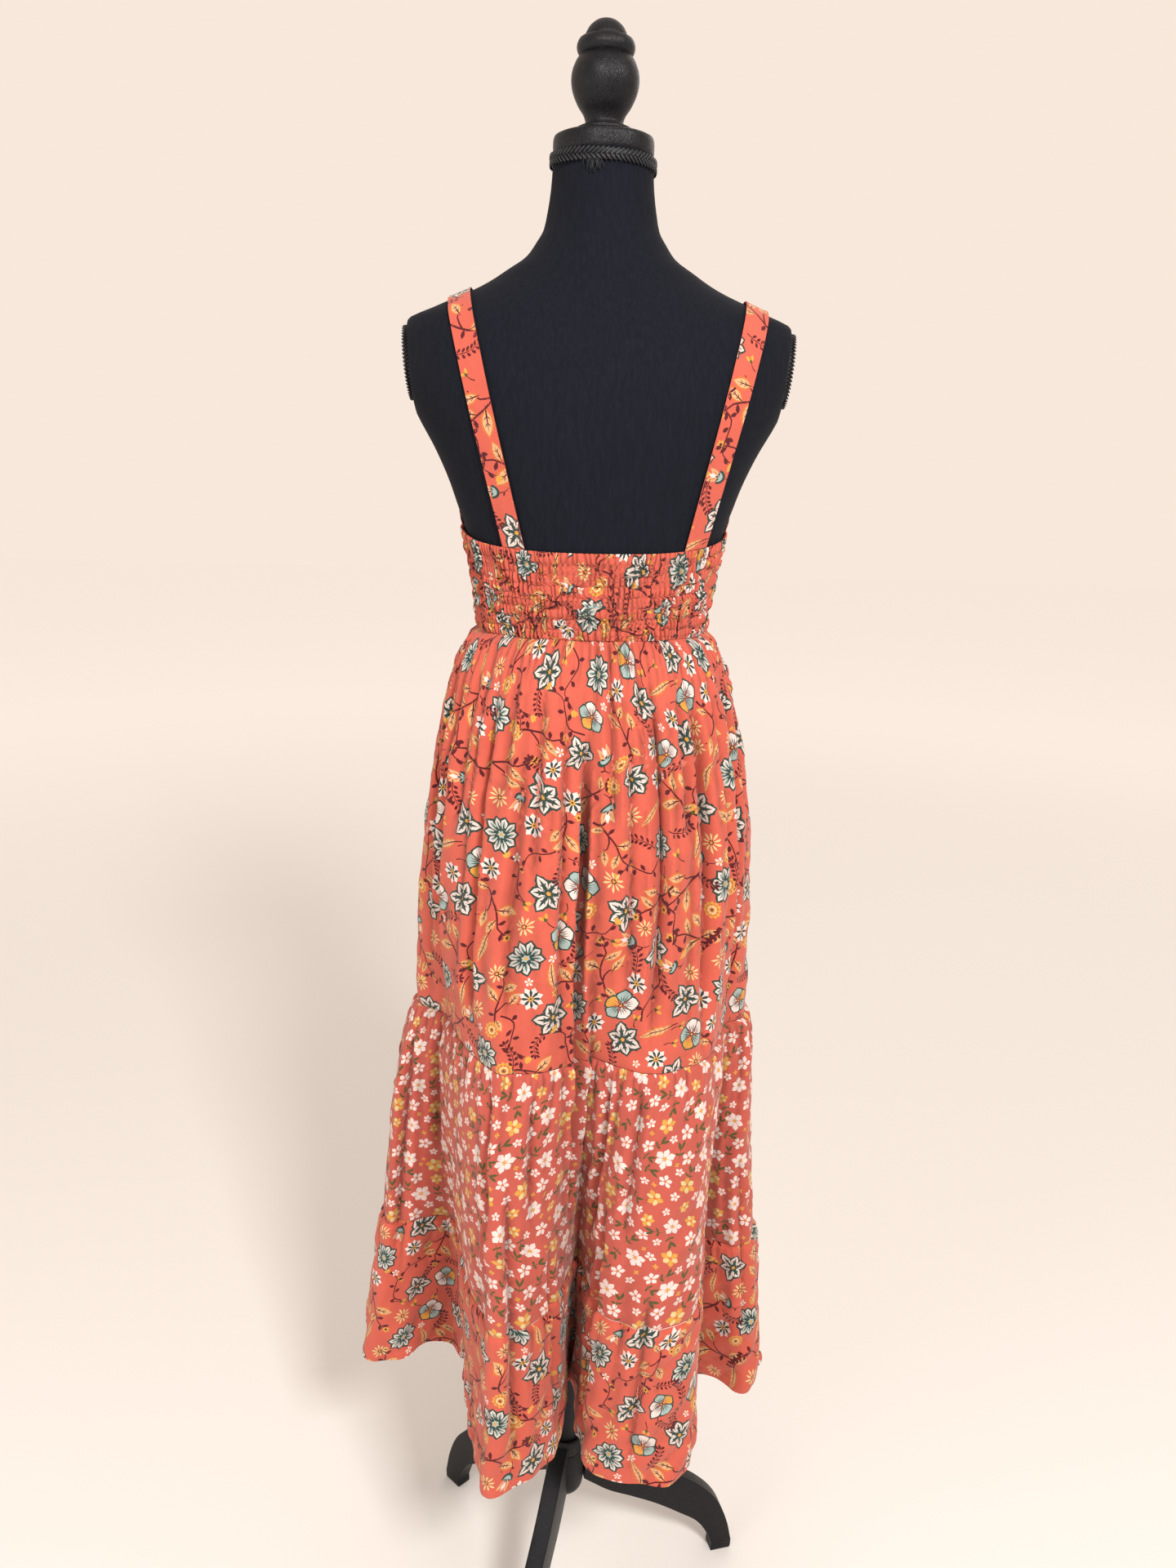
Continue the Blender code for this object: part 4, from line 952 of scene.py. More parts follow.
def cut_out(outline, inner_points, polygons, ground):
    """Triangles of the outline's inside, each with the ink of its topmost polygon.

    A first cut finds the inks, and a second keeps only the lines between two of them.
    """
    points, faces, inks = [], [], []

    def add(loop, ink):
        first = len(points)
        x, y = loop[:, 0], loop[:, 1]
        if np.dot(x, np.roll(y, -1)) < np.dot(y, np.roll(x, -1)):
            loop = loop[::-1]
        points.extend(loop.tolist())
        faces.append(list(range(first, first + len(loop))))
        inks.append(ink)

    add(np.asarray(outline, float), ground)
    for ink, loop in polygons:
        add(loop, ink)
    verts, triangles, origins = cut_plane(points, [], faces)
    known = [(triangle, inks[max(origin)]) for triangle, origin in zip(triangles, origins) if 0 in origin]
    triangles = np.array([triangle for triangle, _ in known])
    ink_of = np.array([ink for _, ink in known])
    whole = BVHTree.FromPolygons([(x, y, 0.0) for x, y in verts], triangles.tolist())
    ends, place = np.unique(np.sort(edges_of(triangles), axis=1), axis=0, return_inverse=True)
    place, side_ink = place.ravel(), np.tile(ink_of, 3)
    low, high = np.full(len(ends), len(INKS)), np.full(len(ends), -1)
    np.minimum.at(low, place, side_ink)
    np.maximum.at(high, place, side_ink)
    used, compact = np.unique(ends[low != high], return_inverse=True)
    border = points[: len(outline)]
    lines = (compact.reshape(-1, 2) + len(border)).tolist()
    points = border + [verts[k] for k in used] + list(inner_points)
    verts, triangles, origins = cut_plane(points, lines, [list(range(len(border)))])
    verts = np.array(verts)
    triangles = np.array([triangle for triangle, origin in zip(triangles, origins) if origin])
    middles = verts[triangles].mean(axis=1)
    colours = ink_of[[whole.find_nearest((x, y, 0.0))[2] for x, y in middles.tolist()]]
    used, compact = np.unique(triangles, return_inverse=True)
    return verts[used], compact.reshape(-1, 3), colours


# Meshes and materials


def mesh_of(name, verts, triangles, normals=None):
    mesh = bpy.data.meshes.new(name)
    mesh.vertices.add(len(verts))
    mesh.vertices.foreach_set("co", np.asarray(verts, np.float32).ravel())
    mesh.loops.add(3 * len(triangles))
    mesh.loops.foreach_set("vertex_index", np.asarray(triangles, np.int32).ravel())
    mesh.polygons.add(len(triangles))
    mesh.polygons.foreach_set("loop_start", np.arange(0, 3 * len(triangles), 3, dtype=np.int32))
    mesh.update(calc_edges=True)
    mesh.shade_smooth()
    if normals is not None:
        mesh.normals_split_custom_set_from_vertices([tuple(n) for n in normals])
    return mesh


def shown(name, mesh, material):
    obj = bpy.data.objects.new(name, mesh)
    bpy.context.scene.collection.objects.link(obj)
    obj.data.materials.append(material)
    return obj


def inner_face(flat, rim, grid):
    """A plain cut on the same edge as a printed one: its points, triangles and each edge point's place."""
    following = dict(rim.tolist())
    loop = [int(rim[0, 0])]
    while following[loop[-1]] != loop[0]:
        loop.append(following[loop[-1]])
    points, triangles, _ = cut_out(flat[loop], grid, [], 0)
    found = {vertex: int(np.argmin(((points - flat[vertex]) ** 2).sum(axis=1))) for vertex in loop}
    return points, triangles, found


def cloth_shell(name, panel, outline, grid, polygons, ground, thickness, material, shade=SKIRT_SHADE):
    """A printed shell over a panel: its printed face, its plain wrong side and the rim between them."""
    flat, triangles, colours = cut_out(outline, grid, polygons, ground)
    places, normals = panel.at(flat)
    count = len(flat)
    # The cut's y runs down the cloth, so its triangles face inwards until they are turned.
    outer = triangles[:, ::-1]
    edges = edges_of(outer)
    _, where, uses = np.unique(np.sort(edges, axis=1), axis=0, return_index=True, return_counts=True)
    rim = edges[where[uses == 1]]
    back_flat, back, found = inner_face(flat, rim, grid)
    back_places, back_normals = panel.at(back_flat)
    behind = np.array([[found[a] + count, found[b] + count] for a, b in rim.tolist()])
    rim_faces = np.concatenate(
        [
            np.stack([rim[:, 1], rim[:, 0], behind[:, 0]], axis=1),
            np.stack([rim[:, 1], behind[:, 0], behind[:, 1]], axis=1),
        ]
    )
    faces = np.concatenate([outer, back + count, rim_faces])
    verts = np.concatenate([places, back_places - back_normals * thickness])
    mesh = mesh_of(name, verts, faces, np.concatenate([normals, -back_normals]))
    wrong_side = (1 - PALE_SHARE) * PALETTE[ground] + PALE_SHARE * ALBEDO * linear(PALE)
    colour = np.concatenate(
        [PALETTE[colours], np.tile(wrong_side, (len(back), 1)), np.tile(PALETTE[ground], (len(rim_faces), 1))]
    )
    # The print attribute holds the print's colours, and on the printed face also painted shade in the folds'
    # valleys
    print_with_painted_shade = mesh.color_attributes.new("print", "FLOAT_COLOR", "CORNER")
    spread = np.repeat(np.column_stack([colour, np.ones(len(colour))]), 3, axis=0)
    # Painted shade: the printed face's colours are darkened where the cloth lies deeper than the cloth about
    # it
    spread[: 3 * len(outer), :3] *= panel.tone(flat, *shade)[outer.ravel()][:, None]
    print_with_painted_shade.data.foreach_set("color", spread.astype(np.float32).ravel())
    both = np.concatenate([flat, back_flat])
    cloth_uv = mesh.uv_layers.new(name="cloth")
    cloth_uv.data.foreach_set("uv", both[faces.ravel()].astype(np.float32).ravel())
    low, high = flat.min(axis=0), flat.max(axis=0)
    unit = (both - low) / (high - low)
    if (high - low)[1] > (high - low)[0]:
        unit = unit[:, ::-1]
    # The printed face fills the upper half of the baked picture, and the wrong side the lower half
    size, base = np.array([0.98, 0.47]), np.array([0.01, 0.01])
    face_laid, back_laid = unit * size + base + [0.0, 0.505], unit * size + base
    laid = np.concatenate([face_laid[:count], back_laid[count:]])
    corner = laid[faces.ravel()]
    rim_start = 3 * (len(outer) + len(back))
    corner[rim_start:] = back_laid[faces.ravel()[rim_start:]]
    bake_uv = mesh.uv_layers.new(name="OFBake")
    bake_uv.data.foreach_set("uv", corner.astype(np.float32).ravel())
    return shown(name, mesh, material)


def rectangle(width, height, step):
    across, down = max(int(width / step), 2), max(int(height / step), 2)
    x, y = np.linspace(0, width, across + 1), np.linspace(0, height, down + 1)
    return np.concatenate(
        [
            np.stack([x[:-1], np.zeros(across)], 1),
            np.stack([np.full(down, width), y[:-1]], 1),
            np.stack([x[:0:-1], np.full(across, height)], 1),
            np.stack([np.zeros(down), y[:0:-1]], 1),
        ]
    )


def grid_points(width, rows):
    """Staggered points inside the cut. rows lists each row's depth and the spacing along it."""
    found = []
    for k, (depth, spacing) in enumerate(rows):
        count = int(width / spacing)
        x = (np.arange(count) + 0.5 + 0.5 * (k % 2)) * width / (count + 0.5)
        x = x[x < width - spacing / 4]
        found.append(np.stack([x, np.full(len(x), depth)], 1))
    return np.concatenate(found)


def rows_down(height, fine_to, fine, coarse, fine_gap, coarse_gap, edge=0.0):
    """Rows of grid points: fine near the top, coarse below, and a pair at the hem's fold if edge is set."""
    depth, rows = fine_gap * 0.6, []
    while depth < height - fine_gap * 0.4:
        share = min(1.0, max(0.0, (depth - fine_to * 0.5) / fine_to))
        rows.append((depth, fine + (coarse - fine) * share))
        depth += fine_gap + (coarse_gap - fine_gap) * share
    if edge:
        fold = height - edge
        rows = [row for row in rows if row[0] < fold - 0.002]
        rows += [(depth, coarse) for depth in (fold - 0.0006, fold + 0.0006, height - edge / 2)]
    return rows


def nodes_of(material):
    material.use_nodes = True
    tree = material.node_tree
    return tree.nodes, tree.links, tree.nodes["Principled BSDF"]


def add(nodes, kind, **values):
    node = nodes.new(kind)
    for name, value in values.items():
        if name in node.inputs:
            node.inputs[name].default_value = value
        else:
            setattr(node, name, value)
    return node


def ranged(nodes, links, value, limits, **settings):
    """A value moved from one range to another. limits lists both ends of the first and of the second."""
    node = add(nodes, "ShaderNodeMapRange", **settings)
    for name, limit in zip(("From Min", "From Max", "To Min", "To Max"), limits):
        node.inputs[name].default_value = limit
    links.new(value, node.inputs["Value"])
    return node.outputs[0]


def cloth_material(name):
    material = bpy.data.materials.new(name)
    nodes, links, shader = nodes_of(material)
    shader.inputs["Roughness"].default_value = 0.78
    shader.inputs["Specular IOR Level"].default_value = 0.20
    shader.inputs["Sheen Weight"].default_value = 0.12
    shader.inputs["Sheen Roughness"].default_value = 0.55
    shader.inputs["Sheen Tint"].default_value = (1.0, 0.86, 0.80, 1.0)
    # The print attribute holds the print's colours with painted shade in the folds' valleys
    ink = add(nodes, "ShaderNodeAttribute", attribute_name="print")
    uv = add(nodes, "ShaderNodeUVMap", uv_map="cloth")
    mottle = add(nodes, "ShaderNodeTexNoise", Scale=38.0, Detail=3.0)
    links.new(uv.outputs[0], mottle.inputs["Vector"])
    tone = ranged(nodes, links, mottle.outputs["Fac"], (0.25, 0.75, 0.93, 1.05))
    bumps = []
    for along, across in ((2600.0, 160.0), (160.0, 2600.0)):
        place = add(nodes, "ShaderNodeMapping")
        place.inputs["Scale"].default_value = (along, across, 1.0)
        thread = add(nodes, "ShaderNodeTexNoise", Scale=1.0, Detail=1.0)
        links.new(uv.outputs[0], place.inputs["Vector"])
        links.new(place.outputs[0], thread.inputs["Vector"])
        bumps.append(thread.outputs["Fac"])
    weave = add(nodes, "ShaderNodeMath", operation="ADD")
    links.new(bumps[0], weave.inputs[0])
    links.new(bumps[1], weave.inputs[1])
    fleck = ranged(nodes, links, weave.outputs[0], (0.6, 1.4, 0.95, 1.05))
    tones = add(nodes, "ShaderNodeMath", operation="MULTIPLY")
    links.new(tone, tones.inputs[0])
    links.new(fleck, tones.inputs[1])
    tinted = add(nodes, "ShaderNodeVectorMath", operation="SCALE")
    links.new(ink.outputs["Color"], tinted.inputs[0])
    links.new(tones.outputs[0], tinted.inputs["Scale"])
    links.new(tinted.outputs[0], shader.inputs["Base Color"])
    bump = add(nodes, "ShaderNodeBump", Strength=0.35, Distance=0.0003)
    links.new(weave.outputs[0], bump.inputs["Height"])
    links.new(bump.outputs[0], shader.inputs["Normal"])
    return material


def plain_material(
    name, dark, light, roughness, scale, stretch, bump_scale, bump_depth, sheen=0.0, specular=0.5
):
    """A surface that varies between two colours, with a stretched grain in colour, gloss and bump."""
    material = bpy.data.materials.new(name)
    nodes, links, shader = nodes_of(material)
    shader.inputs["Specular IOR Level"].default_value = specular
    shader.inputs["Sheen Weight"].default_value = sheen
    shader.inputs["Sheen Roughness"].default_value = 0.5
    coords = add(nodes, "ShaderNodeTexCoord")
    place = add(nodes, "ShaderNodeMapping")
    place.inputs["Scale"].default_value = stretch
    links.new(coords.outputs["Object"], place.inputs["Vector"])
    grain = add(nodes, "ShaderNodeTexNoise", Scale=scale, Detail=5.0, Roughness=0.6)
    links.new(place.outputs[0], grain.inputs["Vector"])
    ramp = add(nodes, "ShaderNodeValToRGB")
    ramp.color_ramp.elements[0].position = 0.32
    ramp.color_ramp.elements[0].color = (*dark, 1.0)
    ramp.color_ramp.elements[1].position = 0.70
    ramp.color_ramp.elements[1].color = (*light, 1.0)
    links.new(grain.outputs["Fac"], ramp.inputs["Fac"])
    links.new(ramp.outputs[0], shader.inputs["Base Color"])
    gloss = ranged(nodes, links, grain.outputs["Fac"], (0.0, 1.0, roughness - 0.07, roughness + 0.09))
    links.new(gloss, shader.inputs["Roughness"])
    fine = add(nodes, "ShaderNodeTexNoise", Scale=bump_scale, Detail=2.0)
    links.new(place.outputs[0], fine.inputs["Vector"])
    bump = add(nodes, "ShaderNodeBump", Strength=0.4, Distance=bump_depth)
    links.new(fine.outputs["Fac"], bump.inputs["Height"])
    links.new(bump.outputs[0], shader.inputs["Normal"])
    return material


print_cloth = cloth_material("large_print_cloth")
small_cloth = cloth_material("small_print_cloth")
jersey = plain_material(
    "jersey", (0.0032, 0.0040, 0.0072), (0.0060, 0.0072, 0.0118), 0.86, 60.0, (6.0, 6.0, 1.0), 260.0, 0.0004,
    sheen=0.01, specular=0.10,
)
braid = plain_material(
    "braid", (0.003, 0.0035, 0.005), (0.013, 0.014, 0.018), 0.46, 300.0, (1.0, 1.0, 1.0), 1400.0, 0.0003,
    sheen=0.02, specular=0.34,
)
BLACK_STAIN = ((0.0008, 0.0010, 0.0018), (0.0060, 0.0060, 0.0080))
wood, board = (
    plain_material(name, *BLACK_STAIN, 0.38, 50.0, stretch, 150.0, 0.0022, specular=0.20)
    for name, stretch in (("black_wood", (9.0, 9.0, 2.4)), ("black_board", (2.4, 9.0, 9.0)))
)
thread = plain_material(
    "thread", linear((206, 78, 66)), linear((232, 104, 88)), 0.7, 400.0, (1.0, 1.0, 1.0), 1500.0, 0.0002,
    sheen=0.2,
)


def placed(obj, node=None):
    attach(obj, "root")
    if node:
        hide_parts(node)
    return obj


# Dress

SKIRT_WIDTHS = {
    ("upper", "back"): 0.64, ("upper", "front"): 0.64, ("middle", "back"): 0.86, ("middle", "front"): 0.98,
    ("lower", "back"): 1.03, ("lower", "front"): 1.28,
}
# Where each piece is cut from the printed bolt
BOLT = {
    ("upper", "back"): (0.055, 0.02), ("upper", "front"): (0.71, 0.11), ("middle", "back"): (0.03, 0.05),
    ("middle", "front"): (0.90, 0.02), ("lower", "back"): (0.21, 0.47), ("lower", "front"): (1.27, 0.60),
}


def stitches(name, panel, line, material, pitch=0.0036, length=0.0025, width=0.00045, lift=0.00012):
    """Short raised threads along a line drawn on the flat cut."""
    line = np.asarray(line, float)
    places, _ = panel.at(line)
    run = lengths(places)
    count = max(int(run[-1] / pitch), 1)
    verts, faces = [], []
    for k in range(count):
        at = (k + 0.5) * run[-1] / count
        ends = [
            np.array([np.interp(at + e * length / 2, run, line[:, c]) for c in range(2)]) for e in (-1, 0, 1)
        ]
        place, normal = panel.at(np.array(ends))
        along = place[2] - place[0]
        along /= max(np.linalg.norm(along), 1e-9)
        side = np.cross(normal[1], along)
        first = len(verts)
        for e, thin in ((0, 0.35), (1, 1.0), (2, 0.35)):
            reach = width / 2 * thin
            for bend in range(4):
                turn = math.tau * (bend + 0.5) / 4
                off = side * math.cos(turn) * reach + normal[e] * (math.sin(turn) * reach + lift)
                verts.append(place[e] + off)
        for ring in (0, 4):
            for b in range(4):
                c = (b + 1) % 4
                faces += [
                    (first + ring + b, first + ring + c, first + ring + 4 + c),
                    (first + ring + b, first + ring + 4 + c, first + ring + 4 + b),
                ]
        faces += [(first, first + 2, first + 1), (first, first + 3, first + 2)]
        faces += [(first + 8, first + 9, first + 10), (first + 8, first + 10, first + 11)]
    mesh = mesh_of(name, np.array(verts), np.array(faces))
    return placed(shown(name, mesh, material))


seed = 100
for tier in TIERS:
    for side, start in (("back", 0.0), ("front", 1.0)):
        seed += 7
        width = SKIRT_WIDTHS[tier, side]
        panel = skirt_panel(tier, start, width, 150 if tier == "upper" else 110, 1401, seed)
        cloth = SMALL_PRINT if tier == "middle" else LARGE_PRINT
        finish = small_cloth if tier == "middle" else print_cloth
        polygons, ground = laid_out(cloth, panel, BOLT[tier, side])
        edge = HEM_FOLD if tier == "lower" else 0.0
        fine, coarse = (0.0027, 0.0044) if side == "back" else (0.0042, 0.0066)
        grid = grid_points(width, rows_down(panel.height, 0.05, fine, coarse, 0.0042, 0.0090, edge))
        name = f"skirt_{tier}_{side}"
        outline = rectangle(width, panel.height, 0.004)
        obj = cloth_shell(f"cloth_{name}", panel, outline, grid, polygons, ground, CLOTH, finish)
        placed(obj, name)
        extra = []
        if tier == "lower":
            x = np.linspace(0.001, width - 0.001, 900)
            line = np.stack([x, np.full(len(x), panel.height - HEM_FOLD + 0.0010)], 1)
            extra = [stitches(f"hem_stitch_{side}", panel, line, thread)]

SHIRR_WIDTH, FRONT_WIDTH = 0.56, 0.395

panel = shirred_panel(SHIRR_WIDTH, 150, 2600)
polygons, ground = laid_out(LARGE_PRINT, panel, (0.26, 0.83))
rows = [(d, 0.00110) for d in np.arange(0.0009, panel.height - 0.0006, 0.0017)]
outline = rectangle(SHIRR_WIDTH, panel.height, 0.0010)
obj = cloth_shell(
    "cloth_bodice_back", panel, outline, grid_points(SHIRR_WIDTH, rows), polygons, ground, CLOTH, print_cloth,
    SHIRR_SHADE,
)
placed(obj, "bodice_back")

panel, shares = front_panel(FRONT_WIDTH, 90, 601)
low = WAIST + GAP
inside = (shares - shares[0]) / (shares[-1] - shares[0])
edge_x = np.linspace(0.0, 1.0, 131)
edge_y = panel.height - (front_top(np.interp(edge_x, inside, shares)) - low)
top_line = np.stack([edge_x * FRONT_WIDTH, edge_y], 1)
sides_down = np.linspace(edge_y[-1], panel.height, 30)[1:-1]
foot = np.linspace(FRONT_WIDTH, 0.0, 120)
outline = np.concatenate(
    [
        top_line,
        np.stack([np.full(28, FRONT_WIDTH), sides_down], 1),
        np.stack([foot, np.full(120, panel.height)], 1),
        np.stack([np.zeros(28), sides_down[::-1]], 1),
    ]
)
grid = grid_points(FRONT_WIDTH, [(d, 0.0042) for d in np.arange(0.002, panel.height - 0.001, 0.0038)])
beneath = grid[:, 1] > np.interp(grid[:, 0], top_line[:, 0], top_line[:, 1]) + 0.001
rows = []
for off in (0.0069, 0.0081):
    rows.append(np.stack([top_line[1:-1, 0], top_line[1:-1, 1] + off], 1))
polygons, ground = laid_out(LARGE_PRINT, panel, (0.98, 0.30))
grid = np.concatenate([grid[beneath], *rows])
obj = cloth_shell("cloth_bodice_front", panel, outline, grid, polygons, ground, CLOTH, print_cloth)
placed(obj, "bodice_front")
edge_stitch = stitches(
    "edge_stitch_front", panel, np.stack([top_line[2:-2, 0], top_line[2:-2, 1] + 0.0062], 1), thread
)

for number, (name, back_x, shoulder_x, front_x) in enumerate(STRAPS):
    panel = strap_panel(back_x, shoulder_x, front_x)
    polygons, ground = laid_out(LARGE_PRINT, panel, (0.17 + 0.31 * number, 0.06 + 0.19 * number))
    grid = grid_points(STRAP_WIDTH, [(d, 0.0036) for d in np.arange(0.002, panel.height - 0.001, 0.0045)])
    outline = rectangle(STRAP_WIDTH, panel.height, 0.004)
    obj = cloth_shell(f"cloth_{name}", panel, outline, grid, polygons, ground, WALL, print_cloth)
    placed(obj, name)
    extra = []
    for edge, x in (("in", 0.0017), ("out", STRAP_WIDTH - 0.0017)):
        y = np.linspace(0.001, panel.height - 0.001, 400)
        line = np.stack([np.full(len(y), x), y], 1)
        extra.append(stitches(f"{name}_stitch_{edge}", panel, line, thread, 0.0034, 0.0023, 0.0004))


# Dress form


def smooth_profile(profile, per_span=5, corner=48.0):
    """A profile's curve, kept sharp where it turns hard."""
    points = np.asarray(profile, float)
    runs, run = [], [points[0]]
    for k in range(1, len(points) - 1):
        run.append(points[k])
        a, b = points[k] - points[k - 1], points[k + 1] - points[k]
        turn = abs(math.degrees(math.atan2(a[0] * b[1] - a[1] * b[0], a @ b)))
        if turn > corner:
            runs.append(run)
            run = [points[k]]
    run.append(points[-1])
    runs.append(run)
    found = [runs[0][0][None]]
    for run in runs:
        curve = catmull(np.array(run), per_span, closed=False) if len(run) > 2 else np.array(run)
        found.append(curve[1:])
    return np.concatenate(found)


def turned(name, profile, centre, material, steps=96):
    profile = np.asarray(profile)
    angle = np.arange(steps) * math.tau / steps
    verts, rings = [], []
    for radius, height in profile:
        if radius < 1e-6:
            rings.append([len(verts)])
            verts.append((0.0, 0.0, height))
        else:
            rings.append(list(range(len(verts), len(verts) + steps)))
            verts += [(radius * math.cos(a), radius * math.sin(a), height) for a in angle]
    faces = []
    for above, below in zip(rings, rings[1:]):
        for k in range(steps):
            n = (k + 1) % steps
            if len(above) == 1 and len(below) > 1:
                faces.append((above[0], below[k], below[n]))
            elif len(below) == 1 and len(above) > 1:
                faces.append((above[k], below[0], above[n]))
            elif len(above) > 1:
                faces += [(above[k], below[k], below[n]), (above[k], below[n], above[n])]
    mesh = mesh_of(name, np.array(verts), np.array(faces))
    mesh.set_sharp_from_angle(angle=math.radians(40))
    obj = shown(name, mesh, material)
    obj.location = centre
    return obj


def body():
    heights = np.unique(np.concatenate([np.linspace(0.8665, 1.6105, 84), np.linspace(1.46, 1.55, 24)]))
    share = np.linspace(0.0, 2.0, 108, endpoint=False)
    verts = []
    for height, scale in [(0.8650, 0.985), (0.8656, 0.996)] + [(h, 1.0) for h in heights] + [(1.6115, 1.0)]:
        ring = form_section(height, share)[0] * scale
        verts.append(np.column_stack([ring, np.full(len(ring), height)]))
    count = len(share)
    layers = len(verts)
    faces = []
    for i in range(layers - 1):
        for j in range(count):
            k = (j + 1) % count
            faces.append((i * count + j, i * count + k, (i + 1) * count + k, (i + 1) * count + j))
    faces.append(tuple(reversed(range(count))))
    faces.append(tuple(range((layers - 1) * count, layers * count)))
    mesh = bpy.data.meshes.new("cloth_torso")
    mesh.from_pydata([tuple(v) for v in np.concatenate(verts)], [], faces)
    work = bmesh.new()
    work.from_mesh(mesh)
    for sign in (-1, 1):
        place, out = arm_plane(sign)
        whole = work.verts[:] + work.edges[:] + work.faces[:]
        cut = bmesh.ops.bisect_plane(work, geom=whole, plane_co=place, plane_no=out, clear_outer=True)
        edges = [item for item in cut["geom_cut"] if isinstance(item, bmesh.types.BMEdge)]
        bmesh.ops.contextual_create(work, geom=edges)
    bmesh.ops.recalc_face_normals(work, faces=work.faces[:])
    work.to_mesh(mesh)
    work.free()
    mesh.shade_smooth()
    mesh.set_sharp_from_angle(angle=math.radians(50))
    obj = shown("cloth_torso", mesh, jersey)
    obj.location = AXIS
    return obj


def arm_plane(sign):
    """A point of the plane that cuts off an arm, and the way that it faces."""
    tilt = math.radians(ARM_TILT)
    return Vector((sign * ARM_OUT, 0.0, ARM_UP)), Vector((sign * math.cos(tilt), 0.0, -math.sin(tilt)))


def cords(name, path, normals, width, pitch, radius):
    """A gimp braid: rows of short fat threads that lean towards each other along a closed path."""
    length = lengths(np.concatenate([path, path[:1]]))
    count = int(length[-1] / pitch)
    closed_path = np.concatenate([path, path[:1]])
    closed_normal = np.concatenate([normals, normals[:1]])
    verts, faces = [], []
    around, along_steps = 6, 4
    for row in range(CORD_ROWS):
        middle = (row + 0.5) / CORD_ROWS * width - width / 2
        sign = 1 if row % 2 else -1
        for k in range(count):
            at = (k + 0.5 * (row % 2)) * length[-1] / count
            place, ahead, out = (
                np.array([np.interp((at + off) % length[-1], length, line[:, c]) for c in range(3)])
                for off, line in ((0.0, closed_path), (0.0006, closed_path), (0.0, closed_normal))
            )
            out /= np.linalg.norm(out)
            along = ahead - place
            along /= max(np.linalg.norm(along), 1e-9)
            across = np.cross(out, along)
            a = math.radians(CORD_LEAN) * sign
            way = along * math.sin(a) + across * math.cos(a)
            side = np.cross(out, way)
            reach = width / CORD_ROWS / 2 / math.cos(a) * 1.12
            first = len(verts)
            for step in range(along_steps + 1):
                t = 2 * step / along_steps - 1
                thick = radius * math.sqrt(max(0.0, 1 - (0.93 * t) ** 2))
                base = place + across * middle + way * t * reach + out * (radius * 0.15)
                for b in range(around):
                    turn = math.tau * b / around
                    verts.append(base + side * math.cos(turn) * thick + out * math.sin(turn) * thick * 0.85)
            for step in range(along_steps):
                for b in range(around):
                    c = (b + 1) % around
                    i, j = first + step * around, first + (step + 1) * around
                    faces += [(i + b, i + c, j + c), (i + b, j + c, j + b)]
            last = first + along_steps * around
            for b in range(1, around - 1):
                faces += [(first, first + b + 1, first + b), (last, last + b, last + b + 1)]
    mesh = mesh_of(name, np.array(verts), np.array(faces))
    return shown(name, mesh, braid)


def ring_band(name, path, normals, width, thickness):
    """The braid's backing: a closed band along a path, its length across as given."""
    count = len(path)
    along = np.roll(path, -1, axis=0) - np.roll(path, 1, axis=0)
    along /= np.linalg.norm(along, axis=1)[:, None]
    across = np.cross(normals, along)
    corners = ((-0.5, 0.0), (-0.5, 0.6), (-0.3, 1.0), (0.3, 1.0), (0.5, 0.6), (0.5, 0.0))
    verts = np.concatenate([path + across * width * a + normals * thickness * b for a, b in corners])
    faces = []
    for c in range(len(corners)):
        d = (c + 1) % len(corners)
        for i in range(count):
            j = (i + 1) % count
            faces += [
                (c * count + i, d * count + i, d * count + j),
                (c * count + i, d * count + j, c * count + j),
            ]
    mesh = mesh_of(name, verts, np.array(faces))
    mesh.set_sharp_from_angle(angle=math.radians(60))
    return shown(name, mesh, braid)


def thread_tube(name, line, radius):
    """One loose thread, as a thin four-sided tube along a line that hangs down."""
    around = radius * np.array([(math.cos(a), math.sin(a), 0.0) for a in math.tau * np.arange(4) / 4])
    verts = (line[:, None] + around[None]).reshape(-1, 3)
    faces = [(0, 1, 2), (0, 2, 3)]
    for i in range(len(line) - 1):
        for b in range(4):
            a, c, d = 4 * i + b, 4 * i + (b + 1) % 4, 4 * (i + 1) + b
            faces += [(a, d, c), (c, d, 4 * (i + 1) + (b + 1) % 4)]
    end = 4 * (len(line) - 1)
    faces += [(end, end + 2, end + 1), (end, end + 3, end + 2)]
    return shown(name, mesh_of(name, verts, np.array(faces)), braid)


placed(body(), "torso")

angle = np.linspace(0, math.tau, 240, endpoint=False)
sag = 1.6052 - 0.0019 * np.cos(angle) - 0.0006 * np.sin(2 * angle)
neck_path = np.stack([0.0463 * np.cos(angle), 0.0463 * np.sin(angle), sag], 1) + AXIS
neck_out = np.stack([np.cos(angle), np.sin(angle), np.zeros(240)], 1)
band = ring_band("neck_braid_band", neck_path - neck_out * 0.0006, neck_out, 0.0086, 0.0012)
placed(band, "neck_braid")
placed(cords("neck_braid_cords", neck_path + neck_out * 0.0014, neck_out, 0.0104, 0.0044, 0.00125))

rng = np.random.default_rng(12)
for k in range(22):
    turn = math.radians(rng.normal(-101.0, 5.0))
    out = np.array([math.cos(turn), math.sin(turn), 0.0])
    side = np.array([-math.sin(turn), math.cos(turn), 0.0])
    drop, sway = rng.uniform(0.004, 0.0125), rng.uniform(-0.004, 0.004)
    foot = [*AXIS[:2], 1.6018] + out * 0.0478
    steps = np.linspace(0.0, 1.0, 6)[:, None]
    curl = out * 0.0012 * np.sin(2.6 * steps) + side * sway * steps**1.6 - np.array([0.0, 0.0, drop]) * steps
    placed(thread_tube(f"neck_fray_{k}", foot + curl, 0.00028))

